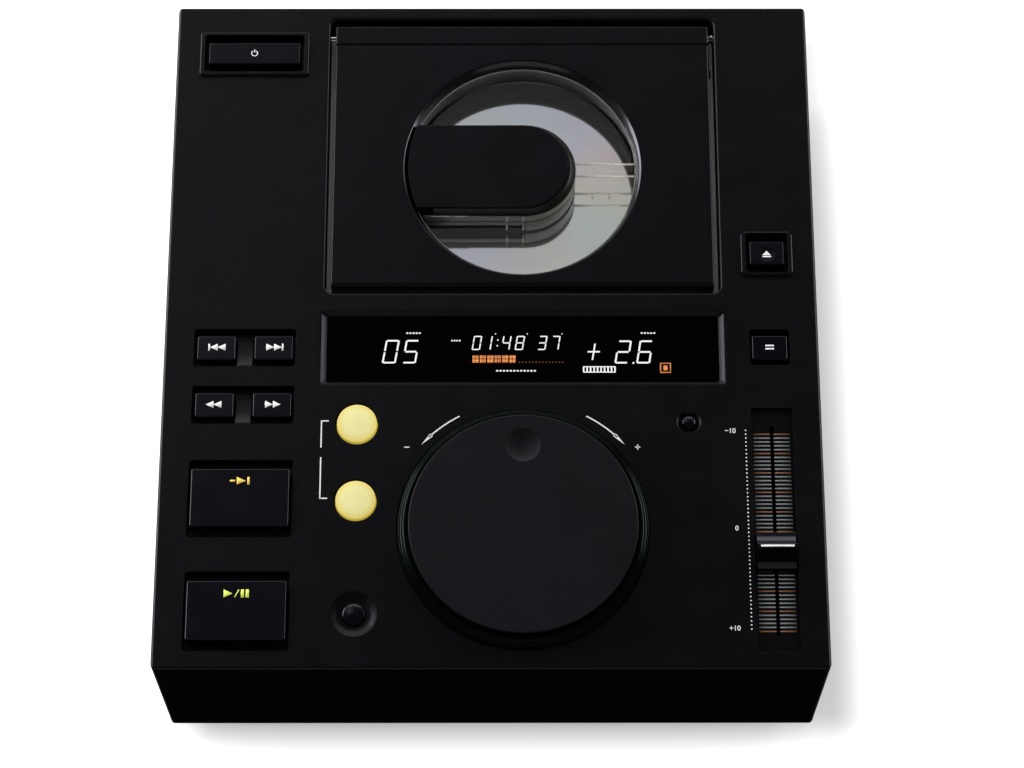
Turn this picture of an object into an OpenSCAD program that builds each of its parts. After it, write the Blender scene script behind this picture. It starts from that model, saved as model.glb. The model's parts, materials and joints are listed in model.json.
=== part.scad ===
// Tabletop DJ compact-disc player with a top-loading lid, a jog dial and a tempo fader.
// Millimetres. X to the right, Y to the rear, Z up. The origin is on the floor, under the middle.

/* [Case] */
// Width of the case, left to right
case_w = 320; // [300:1:350]
// Margin between the front of the case and the fader's channel
front_margin = 8.25; // [8:0.05:12]
// Gap between the fader's channel and the display
row_gap = 12.65; // [12:0.05:16]
// Gap between the display and the lid opening
lid_row_gap = 9.9; // [9:0.1:14]
// Margin between the lid opening and the rear of the case
rear_margin = 6.7; // [6.2:0.1:10]
// Distance of the left-hand column of keys from the left side
left_margin = 39.6; // [39:0.1:42]
// Distance of the right-hand column of controls from the right side
right_margin = 24.05; // [23:0.05:26]
// Gap between the columns and the display
column_gap = 12.2; // [10:0.1:14]
// Height of the case above its feet
case_h = 97; // [94:1:104]
// Wall of the moulded case
case_wall = 3; // [2.4:0.1:3.4]
// Rounding of the top edges
edge_r = 1.8; // [1:0.1:3]
// Rounding of the upright corners
corner_r = 3; // [2.2:0.1:5]
// Height of the rubber feet
foot_h = 8; // [5:0.5:12]
// Radius of a foot where it meets the floor
foot_r = 11; // [8:0.5:14]
// Sheet thickness of the steel chassis and rear panel
sheet_t = 1.2; // [0.8:0.1:1.6]

/* [Lid] */
// How far the lid opening stays inside the display's width at each side
bay_inset = 0.95; // [0.5:0.05:2]
// Rim of the lid in front of its window
front_rim = 5.9; // [5:0.1:8]
// Rim of the lid behind its window
rear_rim = 8.35; // [7.5:0.05:10]
// Corner radius of the lid opening
bay_r = 4.5; // [3:0.1:6]
// Gap between the lid and the sides of its opening
lid_side_gap = 3.1; // [2.8:0.1:3.4]
// Gap between the lid and the front of its opening
lid_front_gap = 3.9; // [3:0.1:4.5]
// Depth of the lid's skirt below the top of the case
lid_depth = 12; // [11.5:0.1:12.4]
// Wall of the lid moulding
lid_wall = 2.2; // [1.8:0.1:2.6]
// Width of the hinge bar, front to rear
bar_d = 10.3; // [9.6:0.1:10.6]
// Height of the hinge bar
bar_h = 9; // [8.5:0.1:9.4]
// Distance from the lid's axis back to the rear edge of the opening
hinge_inset = 9.5; // [9.3:0.1:10]
// Fine slit between the hinge bar and the lid
slit = 0.6; // [0.4:0.1:0.8]
// Radius of the hinge pins
pin_r = 1.5; // [1.2:0.1:1.7]
// Radius of the round window in the lid
window_r = 59.5; // [58.5:0.1:60]
// Depth from the lid's top to the clear pane
pane_depth = 11; // [10.6:0.1:11.2]
// Thickness of the clear pane
pane_t = 2; // [1.6:0.1:2]
// Half the width of the clamper's cover
cover_r = 22.8; // [20:0.1:24]
// Gap between the cover's far end and the wall of the window
cover_gap = 2.4; // [1.5:0.1:3]

/* [Disc drive] */
// Radius of the disc
disc_r = 60; // [60:60]
// Thickness of the disc
disc_t = 1.2; // [1.1:0.1:1.3]
// Radius of the hole in the disc
disc_hole_r = 7.5; // [7.5:7.5]
// Depth from the top of the case to the underside of the disc
disc_depth = 26.6; // [26.2:0.1:27]
// Radius of the round well that the disc turns in
well_r = 63.5; // [62:0.1:64]
// Depth from the top of the case to the flange around the well
flange_depth = 17; // [17:0.1:17.5]
// Wall of the well moulding
well_t = 1.8; // [1.6:0.1:2.2]
// Radius of the turntable
table_r = 14; // [12:0.1:15]
// Radius of the clamper
clamp_r = 15.3; // [13:0.1:16.5]
// Distance of the laser lens from the disc's middle at the inner stop
lens_inner = 24; // [23.5:0.1:24.5]
// Travel of the laser pickup
sled_travel = 34; // [33:0.1:34.5]
// Module of the sled's gears and rack
gear_module = 0.8; // [0.75:0.01:0.82]
// Teeth of the pinion that drives the rack
pinion_teeth = 12; // [12:12]
// Teeth of the large gear below it
wheel_teeth = 36; // [34:2:38]
// Teeth of the motor's pinion
motor_teeth = 10; // [10:10]
// Play between meshing teeth
backlash = 0.3; // [0.25:0.01:0.35]
// Radius of the two rods that the pickup slides on
rod_r = 1.5; // [1.2:0.1:1.7]

/* [Display] */
// Height of the display opening at the top of the panel
display_d = 38.2; // [36:0.1:42]
// Slope of the display's left and right edges, measured across
display_bevel_x = 2.5; // [1:0.1:3]
// Slope of the display's front and rear edges, measured across
display_bevel_y = 1.4; // [0.8:0.1:2]
// Depth of the display window below the panel
display_depth = 1.8; // [1.4:0.1:2]
// Thickness of the display window
display_t = 1.5; // [1.2:0.1:1.8]

/* [Jog dial] */
// Radius of the dial's top
dial_r = 54.7; // [52:0.1:56]
// Radius of the dial's grip ring
ring_r = 59.7; // [58.6:0.1:60]
// Height of the dial above the panel
dial_h = 9; // [8:0.1:10]
// Radius of the finger dimple
dimple_r = 8.8; // [8:0.1:10]
// Distance of the finger dimple from the dial's middle
dimple_at = 39.3; // [36:0.1:41]
// Radius of the dial's shaft
shaft_r = 3; // [2.5:0.1:4]

/* [Tempo fader] */
// Full travel of the fader
fader_travel = 100; // [90:1:100]
// Distance of the fader from the middle of its travel at rest, toward the front
fader_rest = 12; // [0:0.5:20]
// Width of the fader's channel
channel_w = 20.2; // [20:0.1:21]
// Play between the cap and the ends of its channel
channel_play = 1.85; // [1.2:0.05:2.5]
// Depth of the fader's channel
channel_depth = 2.6; // [2.2:0.1:3]
// Width of the fader's cap
cap_w = 18.6; // [17:0.1:18.8]
// Length of the fader's cap
cap_l = 19.2; // [18:0.1:20]
// Height of the cap's ridge above the panel
cap_h = 9; // [7:0.1:11]
// Width of the slot that the fader's lever runs in
slot_w = 2.2; // [2:0.1:3]

/* [Keys] */
// Distance of the power key from the rear edge of the lid opening
power_back = 20.5; // [20:0.1:22]
// Distance of the eject key from the lid's front edge
eject_back = 17; // [16:0.1:20]
// Distance of the fast search keys from the display row
search_down = 29.9; // [29:0.1:31]
// Distance of the cue key from the front of the case
cue_up = 84.7; // [84:0.1:86]
// Distance of the play key from the front of the case
play_up = 28.3; // [28:0.1:30]
// Half the distance between the two keys of a pair
pair_half = 14; // [13.9:0.1:14.2]
// Distance of the round keys from the middle of the dial, measured across
round_out = 80.3; // [79:0.1:81]
// Distance of the loop out key from the display row
loop_out_down = 39.7; // [38:0.1:41]
// Distance of the loop in key from the front of the case
loop_in_up = 84; // [83:0.1:86]
// Distance of the loop return key from the front of the case
reloop_up = 27; // [26:0.1:29]
// Distance of the time display key from the display row
time_down = 38.8; // [38:0.1:40]
// Depth of the pockets around the keys
pocket_depth = 4.5; // [4:0.1:5]
// Floor of the pockets
pocket_floor = 2; // [1.6:0.1:2.4]
// Gap between a key and the hole that guides it
key_gap = 0.4; // [0.3:0.05:0.5]
// Travel of the small keys
key_travel = 1.5; // [1:0.1:1.8]
// Travel of the cue and play keys
big_travel = 2.4; // [2:0.1:2.6]
// Travel of the eject key and of the latch that it moves
eject_travel = 2.2; // [1.6:0.1:2.4]
// Height of the cue and play keys above the panel
big_proud = 2.2; // [1:0.1:3]
// Height of the raised rims around the power and eject keys
rim_h = 1.5; // [1:0.1:2]

/* [Rear] */
// Width of the recess for the sockets
bay_rear_w = 200; // [190:1:200]
// Height of the recess for the sockets
bay_rear_h = 44; // [40:1:48]
// Depth of the recess for the sockets
bay_rear_depth = 11; // [10.5:0.1:12]
// Radius of the outer sleeve of an audio socket
sleeve_r = 4.15; // [4.1:0.05:4.2]

/* [Hidden] */
$fn = 72;

// Shared clearances
seat = 0.3;        // gap of a piece that rests against another but moves
run = 0.05;        // radial play of a shaft in its bore
cut = 1;           // overrun of a cutting tool past a face
thread_r = 1.3;    // core of a tapped hole
hole_r = 1.7;      // clearance hole of a screw
screw_r = 1.3;     // shank of a screw
head_r = 2.8;      // head of a screw
head_h = 1.8;      // height of a screw's head

// Plan, from the front of the case to the rear
channel_l = fader_travel + cap_l + 2 * channel_play;
bay_d = lid_front_gap + front_rim + 2 * window_r + rear_rim + slit + bar_d / 2 + hinge_inset;
case_d = front_margin + channel_l + row_gap + display_d + lid_row_gap + bay_d + rear_margin;
front = -case_d / 2;
dial_y = front + front_margin + channel_l / 2;
row_y = dial_y + channel_l / 2 + row_gap + display_d / 2;
bay_front = row_y + display_d / 2 + lid_row_gap;
bay_rear = bay_front + bay_d;
disc_y = bay_front + lid_front_gap + front_rim + window_r;

// Heights
top = foot_h + case_h;
panel_under = top - case_wall;
flange_z = top - flange_depth;
disc_z = top - disc_depth;
pane_z = top - pane_depth;
lid_z = top - lid_depth;
bar_z = top - bar_h;
hinge_z = top - bar_h / 2;

// Key sizes and their pockets: width, depth
pair_pocket = [49.7, 19.6];
big_pocket = [50, 39.3];
tempo_pocket = [19.6, 18.7];
power_pocket = [50.3, 20.7];
eject_pocket = [20.7, 21];
power_rim = [55.3, 24.6];
eject_rim = [25.6, 23.6];
small_key = [18.5, 12.3];
big_key = [47.1, 29];
tempo_key = [17.1, 12.4];
power_key = [46, 11.8];
eject_key = [16.8, 12.2];

// Columns, from the left to the right
left_x = left_margin - case_w / 2;
right_x = case_w / 2 - right_margin;
middle_left = left_x + pair_pocket[0] / 2 + column_gap;
middle_right = right_x - tempo_pocket[0] / 2 - column_gap;
display_w = middle_right - middle_left;
deck_x = (middle_left + middle_right) / 2;
loop_x = deck_x - round_out;
time_x = deck_x + round_out;

// Lid plan
bay_w = display_w - 2 * bay_inset;
bay_y = (bay_rear + bay_front) / 2;
lid_w = bay_w - 2 * lid_side_gap;
hinge_y = bay_rear - hinge_inset;
bar_front = hinge_y - bar_d / 2;
lid_front = bay_front + lid_front_gap;
lid_rear = bar_front - slit;
lid_d = lid_rear - lid_front;
lid_y = (lid_rear + lid_front) / 2;
bay_wall = 2;
edge_soft = 1;     // rounding of the lid's side edges
lid_nose = 2;      // rounding of the lid's front edge
bay_bevel = 0.6;   // bevel around the lid opening

// Rows of keys
power_y = bay_rear - power_back;
eject_y = lid_front + eject_back;
search_y = row_y - search_down;
cue_y = front + cue_up;
play_y = front + play_up;
loop_out_y = row_y - loop_out_down;
loop_in_y = front + loop_in_up;
reloop_y = front + reloop_up;
time_y = row_y - time_down;
loop_key_r = 9.6;
loop_seat_r = 10.9;
loop_seat_depth = 1.6;
reloop_key_r = 5.2;
reloop_dish_r = 11.15;
time_key_r = 3.05;
time_dish_r = 5.9;
dish_depth = 2.2;
key_edge = 0.6;
key_corner = 1;
flange_t = 1.5;    // retaining flange at the foot of a key
flange_out = 1.1;  // how far that flange stands out

tub_wall = 2;
tub_z = top - pocket_depth - pocket_floor;
key_flange_z = tub_z - seat - flange_t;
board_t = 1.6;
switch_h = 3.5;
key_board_z = key_flange_z - big_travel - seat - switch_h - 1.6 - board_t;
post_r = 2.5;

// Case screws
corner_post = [case_w / 2 - 9.5, case_d / 2 - 13.5];
foot_at = [case_w / 2 - 30, case_d / 2 - 30.5];
foot_bore = 4.2;   // seat of a foot's screw
tray_h = 5;        // height of the chassis's turned-up edge
well_post_x = [deck_x - bay_w / 2 - bay_wall - 3, deck_x + bay_w / 2 + bay_wall + 3];
well_post_y = [bay_front + 8, bay_rear - 10];

// Rear recess
rear_face = case_d / 2;
rear_plate_y = rear_face - bay_rear_depth;
bay_rear_z = foot_h + 8 + bay_rear_h / 2;
rear_screw_x = bay_rear_w / 2 - 6;
socket_z = bay_rear_z;
audio_x = [-62, -44];
control_x = [-18, 4];
inlet_x = 72;
inlet_w = 25;
inlet_h = 15.5;

// ---------- shared shapes ----------

// Rounded rectangle about the origin
module rounded_rect(w, d, r) {
    square([w - 2 * r, d], center = true);
    square([w, d - 2 * r], center = true);
    for (sx = [-1, 1], sy = [-1, 1])
        translate([sx * (w / 2 - r), sy * (d / 2 - r)]) circle(r = r);
}

module rounded_box(w, d, h, r) {
    linear_extrude(height = h) rounded_rect(w, d, r);
}

// Upright profile on the X axis, its top corners rounded by r and its foot corners by f
module arch(w, h, r, f = 0) {
    difference() {
        translate([-w / 2, 0]) square([w, h]);
        for (s = [-1, 1]) {
            translate([s * (w / 2 - r), h - r]) quarter_gap(r, s, 1);
            if (f > 0) translate([s * (w / 2 - f), f]) quarter_gap(f, s, -1);
        }
    }
}

// What a rounding of radius r takes off a corner
module quarter_gap(r, sx, sy) {
    difference() {
        translate([sx > 0 ? 0 : -r - cut, sy > 0 ? 0 : -r - cut]) square(r + cut);
        circle(r = r);
    }
}

// Block with rounded upright corners and rounded top edges, standing on z = 0
module soft_block(w, d, h, corner, edge, foot = 0) {
    intersection() {
        rounded_box(w, d, h, corner);
        translate([0, d / 2, 0]) rotate([90, 0, 0]) linear_extrude(height = d) arch(w, h, edge, foot);
        translate([-w / 2, 0, 0]) rotate([90, 0, 90]) linear_extrude(height = w) arch(d, h, edge, foot);
    }
}

// Opening with mitred sloping sides: w x d at the top, less bx and by on each side at the bottom
module sloped_opening(w, d, h, bx, by) {
    intersection() {
        translate([0, d / 2, -h]) rotate([90, 0, 0]) linear_extrude(height = d) trough(w, h, bx);
        translate([-w / 2, 0, -h]) rotate([90, 0, 90]) linear_extrude(height = w) trough(d, h, by);
    }
}

// Profile of that opening, less b on each side at the bottom
module trough(w, h, b) {
    polygon([[-w / 2 + b, 0], [w / 2 - b, 0], [w / 2, h], [w / 2, h + cut], [-w / 2, h + cut], [-w / 2, h]]);
}

// Ring of wall t around a w x d opening
module frame_wall(w, d, h, r, t) {
    difference() {
        rounded_box(w + 2 * t, d + 2 * t, h, r + t);
        translate([0, 0, -cut]) rounded_box(w, d, h + 2 * cut, r);
    }
}

// Pan-head screw: the head's upper face at z = 0, the shank upward
module screw(l) {
    difference() {
        translate([0, 0, -head_h]) cylinder(r = head_r, h = head_h);
        translate([0, 0, -head_h - cut]) cube([0.8, 3.4, 2 * cut + 0.6], center = true);
    }
    cylinder(r = screw_r, h = l);
}

// Straight-flanked spur gear about the origin, one tooth on the X axis
function tooth_half(teeth, radius, slack) =
    let (pitch_r = gear_module * teeth / 2)
    (PI * gear_module / 4 - slack / 2 - tan(20) * (radius - pitch_r)) / radius * 180 / PI;
function gear_points(teeth, slack) =
    let (root = gear_module * (teeth / 2 - 1.2), tip = gear_module * (teeth / 2 + 0.85))
    [for (i = [0 : teeth - 1])
        let (a = i * 360 / teeth, hr = tooth_half(teeth, root, slack), ht = tooth_half(teeth, tip, slack))
        each [root * [cos(a - hr), sin(a - hr)], tip * [cos(a - ht), sin(a - ht)],
              tip * [cos(a + ht), sin(a + ht)], root * [cos(a + hr), sin(a + hr)]]];

module gear(teeth, h, bore_r) {
    difference() {
        linear_extrude(height = h) polygon(gear_points(teeth, backlash));
        translate([0, 0, -cut]) cylinder(r = bore_r, h = h + 2 * cut);
    }
}

// Wire of radius r along a list of points
function unit(v) = v / norm(v);
function wire_ring(p, tangent, side, r, sides) =
    let (n = unit(side - tangent * (side * tangent)), b = cross(tangent, n))
    [for (k = [0 : sides - 1]) p + r * (cos(360 * k / sides) * n + sin(360 * k / sides) * b)];
module wire(path, r, sides, side) {
    last = len(path) - 1;
    tangents = [for (i = [0 : last]) unit(path[min(i + 1, last)] - path[max(i - 1, 0)])];
    rings = [for (i = [0 : last]) each wire_ring(path[i], tangents[i], side, r, sides)];
    skin = [for (i = [0 : last - 1], k = [0 : sides - 1])
        [i * sides + k, i * sides + (k + 1) % sides, (i + 1) * sides + (k + 1) % sides, (i + 1) * sides + k]];
    ends = [[for (k = [sides - 1 : -1 : 0]) k], [for (k = [0 : sides - 1]) last * sides + k]];
    polyhedron(points = rings, faces = concat(skin, ends), convexity = 6);
}

// ---------- case ----------

// Rectangular pockets: place, pocket size
pockets = [
    [[left_x, power_y], power_pocket],
    [[right_x, eject_y], eject_pocket],
    [[right_x, row_y], tempo_pocket],
    [[left_x, row_y], pair_pocket],
    [[left_x, search_y], pair_pocket],
    [[left_x, cue_y], big_pocket],
    [[left_x, play_y], big_pocket]
];
// Rectangular keys: place, key size
keys = [
    [[left_x, power_y], power_key],
    [[right_x, eject_y], eject_key],
    [[right_x, row_y], tempo_key],
    [[left_x - pair_half, row_y], small_key],
    [[left_x + pair_half, row_y], small_key],
    [[left_x - pair_half, search_y], small_key],
    [[left_x + pair_half, search_y], small_key],
    [[left_x, cue_y], big_key],
    [[left_x, play_y], big_key]
];
// Round keys: place, key radius, radius and depth of the seat, radius of the seat's floor
round_keys = [
    [[loop_x, loop_out_y], loop_key_r, loop_seat_r, loop_seat_depth, loop_seat_r],
    [[loop_x, loop_in_y], loop_key_r, loop_seat_r, loop_seat_depth, loop_seat_r],
    [[loop_x, reloop_y], reloop_key_r, reloop_dish_r, dish_depth, reloop_key_r + 1.4],
    [[time_x, time_y], time_key_r, time_dish_r, dish_depth, time_key_r + 1]
];
// Key boards: place of the middle, size
board_plans = [
    [[left_x, (row_y + 8 + play_y - 18) / 2], [50, row_y - play_y + 26]],
    [[loop_x, (loop_out_y + reloop_y) / 2], [26, loop_out_y - reloop_y + 24]],
    [[right_x, row_y], [24, 26]],
    [[time_x, time_y], [20, 20]]
];
// Posts that carry the key boards
board_posts = [
    [left_x - 21.5, row_y - 15], [left_x + 21.5, row_y - 15],
    [left_x - 21.5, search_y - 19], [left_x + 21.5, search_y - 19],
    [left_x - 21.5, (cue_y + play_y) / 2], [left_x + 21.5, (cue_y + play_y) / 2],
    [loop_x - 9, (loop_out_y + loop_in_y) / 2], [loop_x + 9, (loop_out_y + loop_in_y) / 2],
    [loop_x - 9, reloop_y + 19], [loop_x + 9, reloop_y + 19],
    [right_x, row_y - 11], [right_x, row_y + 11],
    [time_x - 7.5, time_y + 7.5], [time_x + 7.5, time_y - 7.5]
];

// Display hardware
display_y = row_y;
display_x = deck_x;
window_size = [display_w - 2 * display_bevel_x, display_d - 2 * display_bevel_y];
ledge = 3;
ledge_z = top - display_depth - display_t - 2;
tube_gap = 1.2;
tube_size = [window_size[0] - 30, window_size[1] - 8, 6];
tube_z = top - display_depth - display_t - tube_gap - tube_size[2];
display_board_z = tube_z - board_t;
display_post_x = window_size[0] / 2 + 6;
display_board_size = [2 * display_post_x + 8, window_size[1]];

// Jog hardware
jog_plate_t = 2;
jog_plate_z = top - 18;
jog_plate_w = 84;
jog_post_at = 34;
bush_r = 6;
hub_r = 8;
hub_foot = top - 5.6;
shaft_foot = jog_plate_z - 9;
encoder_r = 20;
seat_depth = 1;
ring_z = top + 0.8;
dial_wall = 2.4;
dimple_depth = 1.6;
dimple_ball = (dimple_r * dimple_r + dimple_depth * dimple_depth) / (2 * dimple_depth);

// Fader hardware
fader_x = right_x - 0.2;
plate_t = 0.8;
slot_l = fader_travel + 6;
lever_t = 1.4;
lever_l = 4.5;
fader_body_w = 13;
fader_body_h = 9;
channel_z = top - channel_depth;
fader_tub_z = channel_z - 2;
cap_y = dial_y - fader_rest;

module top_case() {
    color("#1b1b1f") {
        difference() {
            union() {
                case_shell();
                case_tubs();
                rims();
            }
            case_cuts();
        }
        pair_saddles();
    }
}

module case_shell() {
    difference() {
        translate([0, 0, foot_h]) soft_block(case_w, case_d, case_h, corner_r, edge_r, edge_r);
        translate([0, 0, foot_h - cut])
            rounded_box(case_w - 2 * case_wall, case_d - 2 * case_wall, case_h + cut - case_wall, 1.5);
    }
    // skirt around the lid opening, hinge blocks and posts for the well
    translate([deck_x, bay_y, flange_z])
        frame_wall(bay_w - 0.2, bay_d - 0.2, panel_under + 0.5 - flange_z, bay_r, bay_wall + 0.1);
    for (s = [-1, 1])
        translate([deck_x + s * (bay_w / 2 + bay_wall + 2) - 2.5, hinge_y - 5, bar_z - 1])
            cube([5, 10, panel_under + 0.5 - bar_z + 1]);
    for (x = well_post_x, y = well_post_y)
        translate([x, y, flange_z]) cylinder(r = 3.5, h = panel_under + 0.5 - flange_z);
    // corner posts
    for (sx = [-1, 1], sy = [-1, 1])
        translate([sx * corner_post[0], sy * corner_post[1], foot_h + sheet_t])
            cylinder(r = 4.5, h = panel_under + 0.5 - foot_h - sheet_t);
    // posts for the display board, the key boards and the jog plate
    for (sx = [-1, 1], sy = [-1, 1])
        translate([display_x + sx * display_post_x, display_y + sy * 12, display_board_z + board_t])
            cylinder(r = post_r, h = panel_under + 0.5 - display_board_z - board_t);
    for (p = board_posts)
        translate([p[0], p[1], key_board_z + board_t])
            cylinder(r = post_r, h = panel_under + 0.5 - key_board_z - board_t);
    for (sx = [-1, 1], sy = [-1, 1])
        translate([deck_x + sx * jog_post_at, dial_y + sy * jog_post_at, jog_plate_z + jog_plate_t])
            cylinder(r = 3.5, h = panel_under + 0.5 - jog_plate_z - jog_plate_t);
    // walls of the socket recess
    translate([0, rear_plate_y, bay_rear_z]) rotate([-90, 0, 0])
        frame_wall(bay_rear_w - 1, bay_rear_h - 1, bay_rear_depth - 1, 2, 2.5);
}

module case_tubs() {
    for (p = pockets)
        translate([p[0][0], p[0][1], tub_z])
            rounded_box(p[1][0] + 2 * tub_wall, p[1][1] + 2 * tub_wall,
                        panel_under + 0.5 - tub_z, 1.5);
    for (k = round_keys)
        translate([k[0][0], k[0][1], tub_z])
            cylinder(r = k[2] + tub_wall, h = panel_under + 0.5 - tub_z);
    // tray under the fader's channel
    translate([fader_x, dial_y, fader_tub_z])
        rounded_box(channel_w + 2 * tub_wall, channel_l + 2 * tub_wall,
                    panel_under + 0.5 - fader_tub_z, 1.5);
    // ledge under the display window
    translate([display_x, display_y, ledge_z])
        rounded_box(window_size[0] + 5, window_size[1] + 5, panel_under + 0.5 - ledge_z, 1.5);
}

// Raised rims around the power and eject keys
module rims() {
    translate([left_x, power_y, top - 0.5])
        soft_block(power_rim[0], power_rim[1], rim_h + 0.5, 2, 0.9);
    translate([right_x, eject_y, top - 0.5])
        soft_block(eject_rim[0], eject_rim[1], rim_h + 0.5, 3, 0.9);
}

module case_cuts() {
    // lid opening with its bevel
    translate([deck_x, bay_y, flange_z - cut])
        rounded_box(bay_w, bay_d, flange_depth + 2 * cut, bay_r);
    translate([deck_x, bay_y, top])
        sloped_opening(bay_w + 2 * bay_bevel, bay_d + 2 * bay_bevel, bay_bevel, bay_bevel, bay_bevel);
    // bores of the hinge pins
    for (s = [-1, 1])
        translate([deck_x + s * bay_w / 2, hinge_y, hinge_z])
            rotate([0, s * 90, 0]) translate([0, 0, -cut]) cylinder(r = pin_r, h = 5 + cut);
    // key pockets and their guide holes
    for (p = pockets)
        translate([p[0][0], p[0][1], top - pocket_depth])
            rounded_box(p[1][0], p[1][1], pocket_depth + rim_h + cut, 1.5);
    for (k = keys)
        translate([k[0][0], k[0][1], tub_z - cut])
            rounded_box(k[1][0] + 2 * key_gap, k[1][1] + 2 * key_gap,
                        pocket_floor + 2 * cut, key_corner + key_gap);
    for (k = round_keys)
        translate([k[0][0], k[0][1], 0]) {
            translate([0, 0, top - k[3]]) cylinder(r1 = k[4], r2 = k[2], h = k[3]);
            translate([0, 0, top - 0.01]) cylinder(r = k[2], h = cut);
            translate([0, 0, tub_z - cut]) cylinder(r = k[1] + key_gap, h = top - tub_z + 2 * cut);
        }
    // fader channel and slot
    translate([fader_x, dial_y, channel_z]) rounded_box(channel_w, channel_l, channel_depth + cut, 1);
    translate([fader_x, dial_y, fader_tub_z - cut])
        rounded_box(slot_w + 2, slot_l + 4, channel_depth + 2 * cut, 1);
    // display opening
    translate([display_x, display_y, top])
        sloped_opening(display_w, display_d, display_depth, display_bevel_x, display_bevel_y);
    translate([display_x, display_y, top - display_depth - display_t])
        rounded_box(window_size[0], window_size[1], display_t + cut / 2, 1);
    translate([display_x, display_y, ledge_z - cut])
        rounded_box(window_size[0] - 2 * ledge, window_size[1] - 2 * ledge, display_t + 2 + cut, 1);
    // shallow seat and shaft hole of the jog dial
    translate([deck_x, dial_y, top - seat_depth]) cylinder(r = ring_r + 1, h = seat_depth + cut);
    translate([deck_x, dial_y, panel_under - cut]) cylinder(r = hub_r + 2, h = case_wall + 2 * cut);
    // screw holes in the posts
    for (sx = [-1, 1], sy = [-1, 1])
        translate([sx * corner_post[0], sy * corner_post[1], foot_h]) cylinder(r = thread_r, h = 14);
    for (x = well_post_x, y = well_post_y)
        translate([x, y, flange_z - cut]) cylinder(r = thread_r, h = 9 + cut);
    // socket recess
    translate([0, rear_plate_y - cut, bay_rear_z]) rotate([-90, 0, 0])
        rounded_box(bay_rear_w - 1, bay_rear_h - 1, bay_rear_depth + 2 * cut, 2);
}

// Ramp between the two keys of a pair, rising to the panel at the front
module pair_saddles() {
    saddle_w = 2 * pair_half - small_key[0] - 2;
    for (y = [row_y, search_y])
        translate([left_x - saddle_w / 2, y - pair_pocket[1] / 2, top - pocket_depth])
            rotate([90, 0, 90]) linear_extrude(height = saddle_w)
                polygon([[0, 0], [0, pocket_depth], [1, pocket_depth - 0.4], [7.5, 1], [pair_pocket[1], 0]]);
}

module bottom_chassis() {
    w = case_w - 2 * case_wall - 0.6;
    d = case_d - 2 * case_wall - 0.6;
    color("#8f9294")
    difference() {
        translate([0, 0, foot_h]) rounded_box(w, d, tray_h, 1.2);
        translate([0, 0, foot_h + sheet_t]) rounded_box(w - 2 * sheet_t, d - 2 * sheet_t, tray_h, 1);
        for (sx = [-1, 1], sy = [-1, 1]) {
            translate([sx * corner_post[0], sy * corner_post[1], foot_h - cut])
                cylinder(r = hole_r, h = sheet_t + 2 * cut);
            translate([sx * foot_at[0], sy * foot_at[1], foot_h - cut])
                cylinder(r = hole_r, h = sheet_t + 2 * cut);
        }
        // cooling slots
        for (sx = [-1, 1], i = [0 : 9])
            translate([sx * 75, front + 115.5 + i * 13, foot_h - cut]) rounded_box(54, 4, 4, 1.9);
    }
}

module rear_panel() {
    color("#2b2c2e")
    difference() {
        translate([0, rear_plate_y - sheet_t, bay_rear_z]) rotate([-90, 0, 0])
            rounded_box(bay_rear_w + 3, bay_rear_h + 3, sheet_t, 2);
        for (x = audio_x)
            translate([x, rear_plate_y - 3, socket_z]) rotate([-90, 0, 0]) cylinder(r = 5.2, h = 6);
        for (x = control_x)
            translate([x, rear_plate_y - 3, socket_z]) rotate([-90, 0, 0]) cylinder(r = 3.2, h = 6);
        translate([inlet_x, rear_plate_y - 3, socket_z]) rotate([-90, 0, 0])
            rounded_box(inlet_w + 0.4, inlet_h + 0.4, 6, 2);
        for (sx = [-1, 1], sz = [-1, 1])
            translate([sx * rear_screw_x, rear_plate_y - 3, bay_rear_z + sz * 15]) rotate([-90, 0, 0])
                cylinder(r = hole_r, h = 6);
    }
}

// Four moulded rubber feet, each with a sunk seat for its screw
module feet() {
    color("#141414")
    for (sx = [-1, 1], sy = [-1, 1])
        translate([sx * foot_at[0], sy * foot_at[1], 0])
            rotate_extrude()
                polygon([[foot_bore, 0], [foot_r - 1, 0], [foot_r, 0.8], [foot_r + 1.5, foot_h],
                         [hole_r, foot_h], [hole_r, foot_h - 2], [foot_bore, foot_h - 2]]);
}

module foot_screws() {
    color("#b9bcc0")
    for (sx = [-1, 1], sy = [-1, 1])
        translate([sx * foot_at[0], sy * foot_at[1], foot_h - 2]) screw(8);
}

// Screws of the chassis and of the well
module tapping_screws() {
    color("#2a2a2c") {
        for (sx = [-1, 1], sy = [-1, 1])
            translate([sx * corner_post[0], sy * corner_post[1], foot_h]) screw(10);
        for (x = well_post_x, y = well_post_y)
            translate([x, y, flange_z - well_t]) screw(well_t + 7);
        for (sx = [-1, 1], sz = [-1, 1])
            translate([sx * rear_screw_x, rear_plate_y, bay_rear_z + sz * 15]) rotate([90, 0, 0]) screw(7);
    }
}

// ---------- lid ----------

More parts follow.
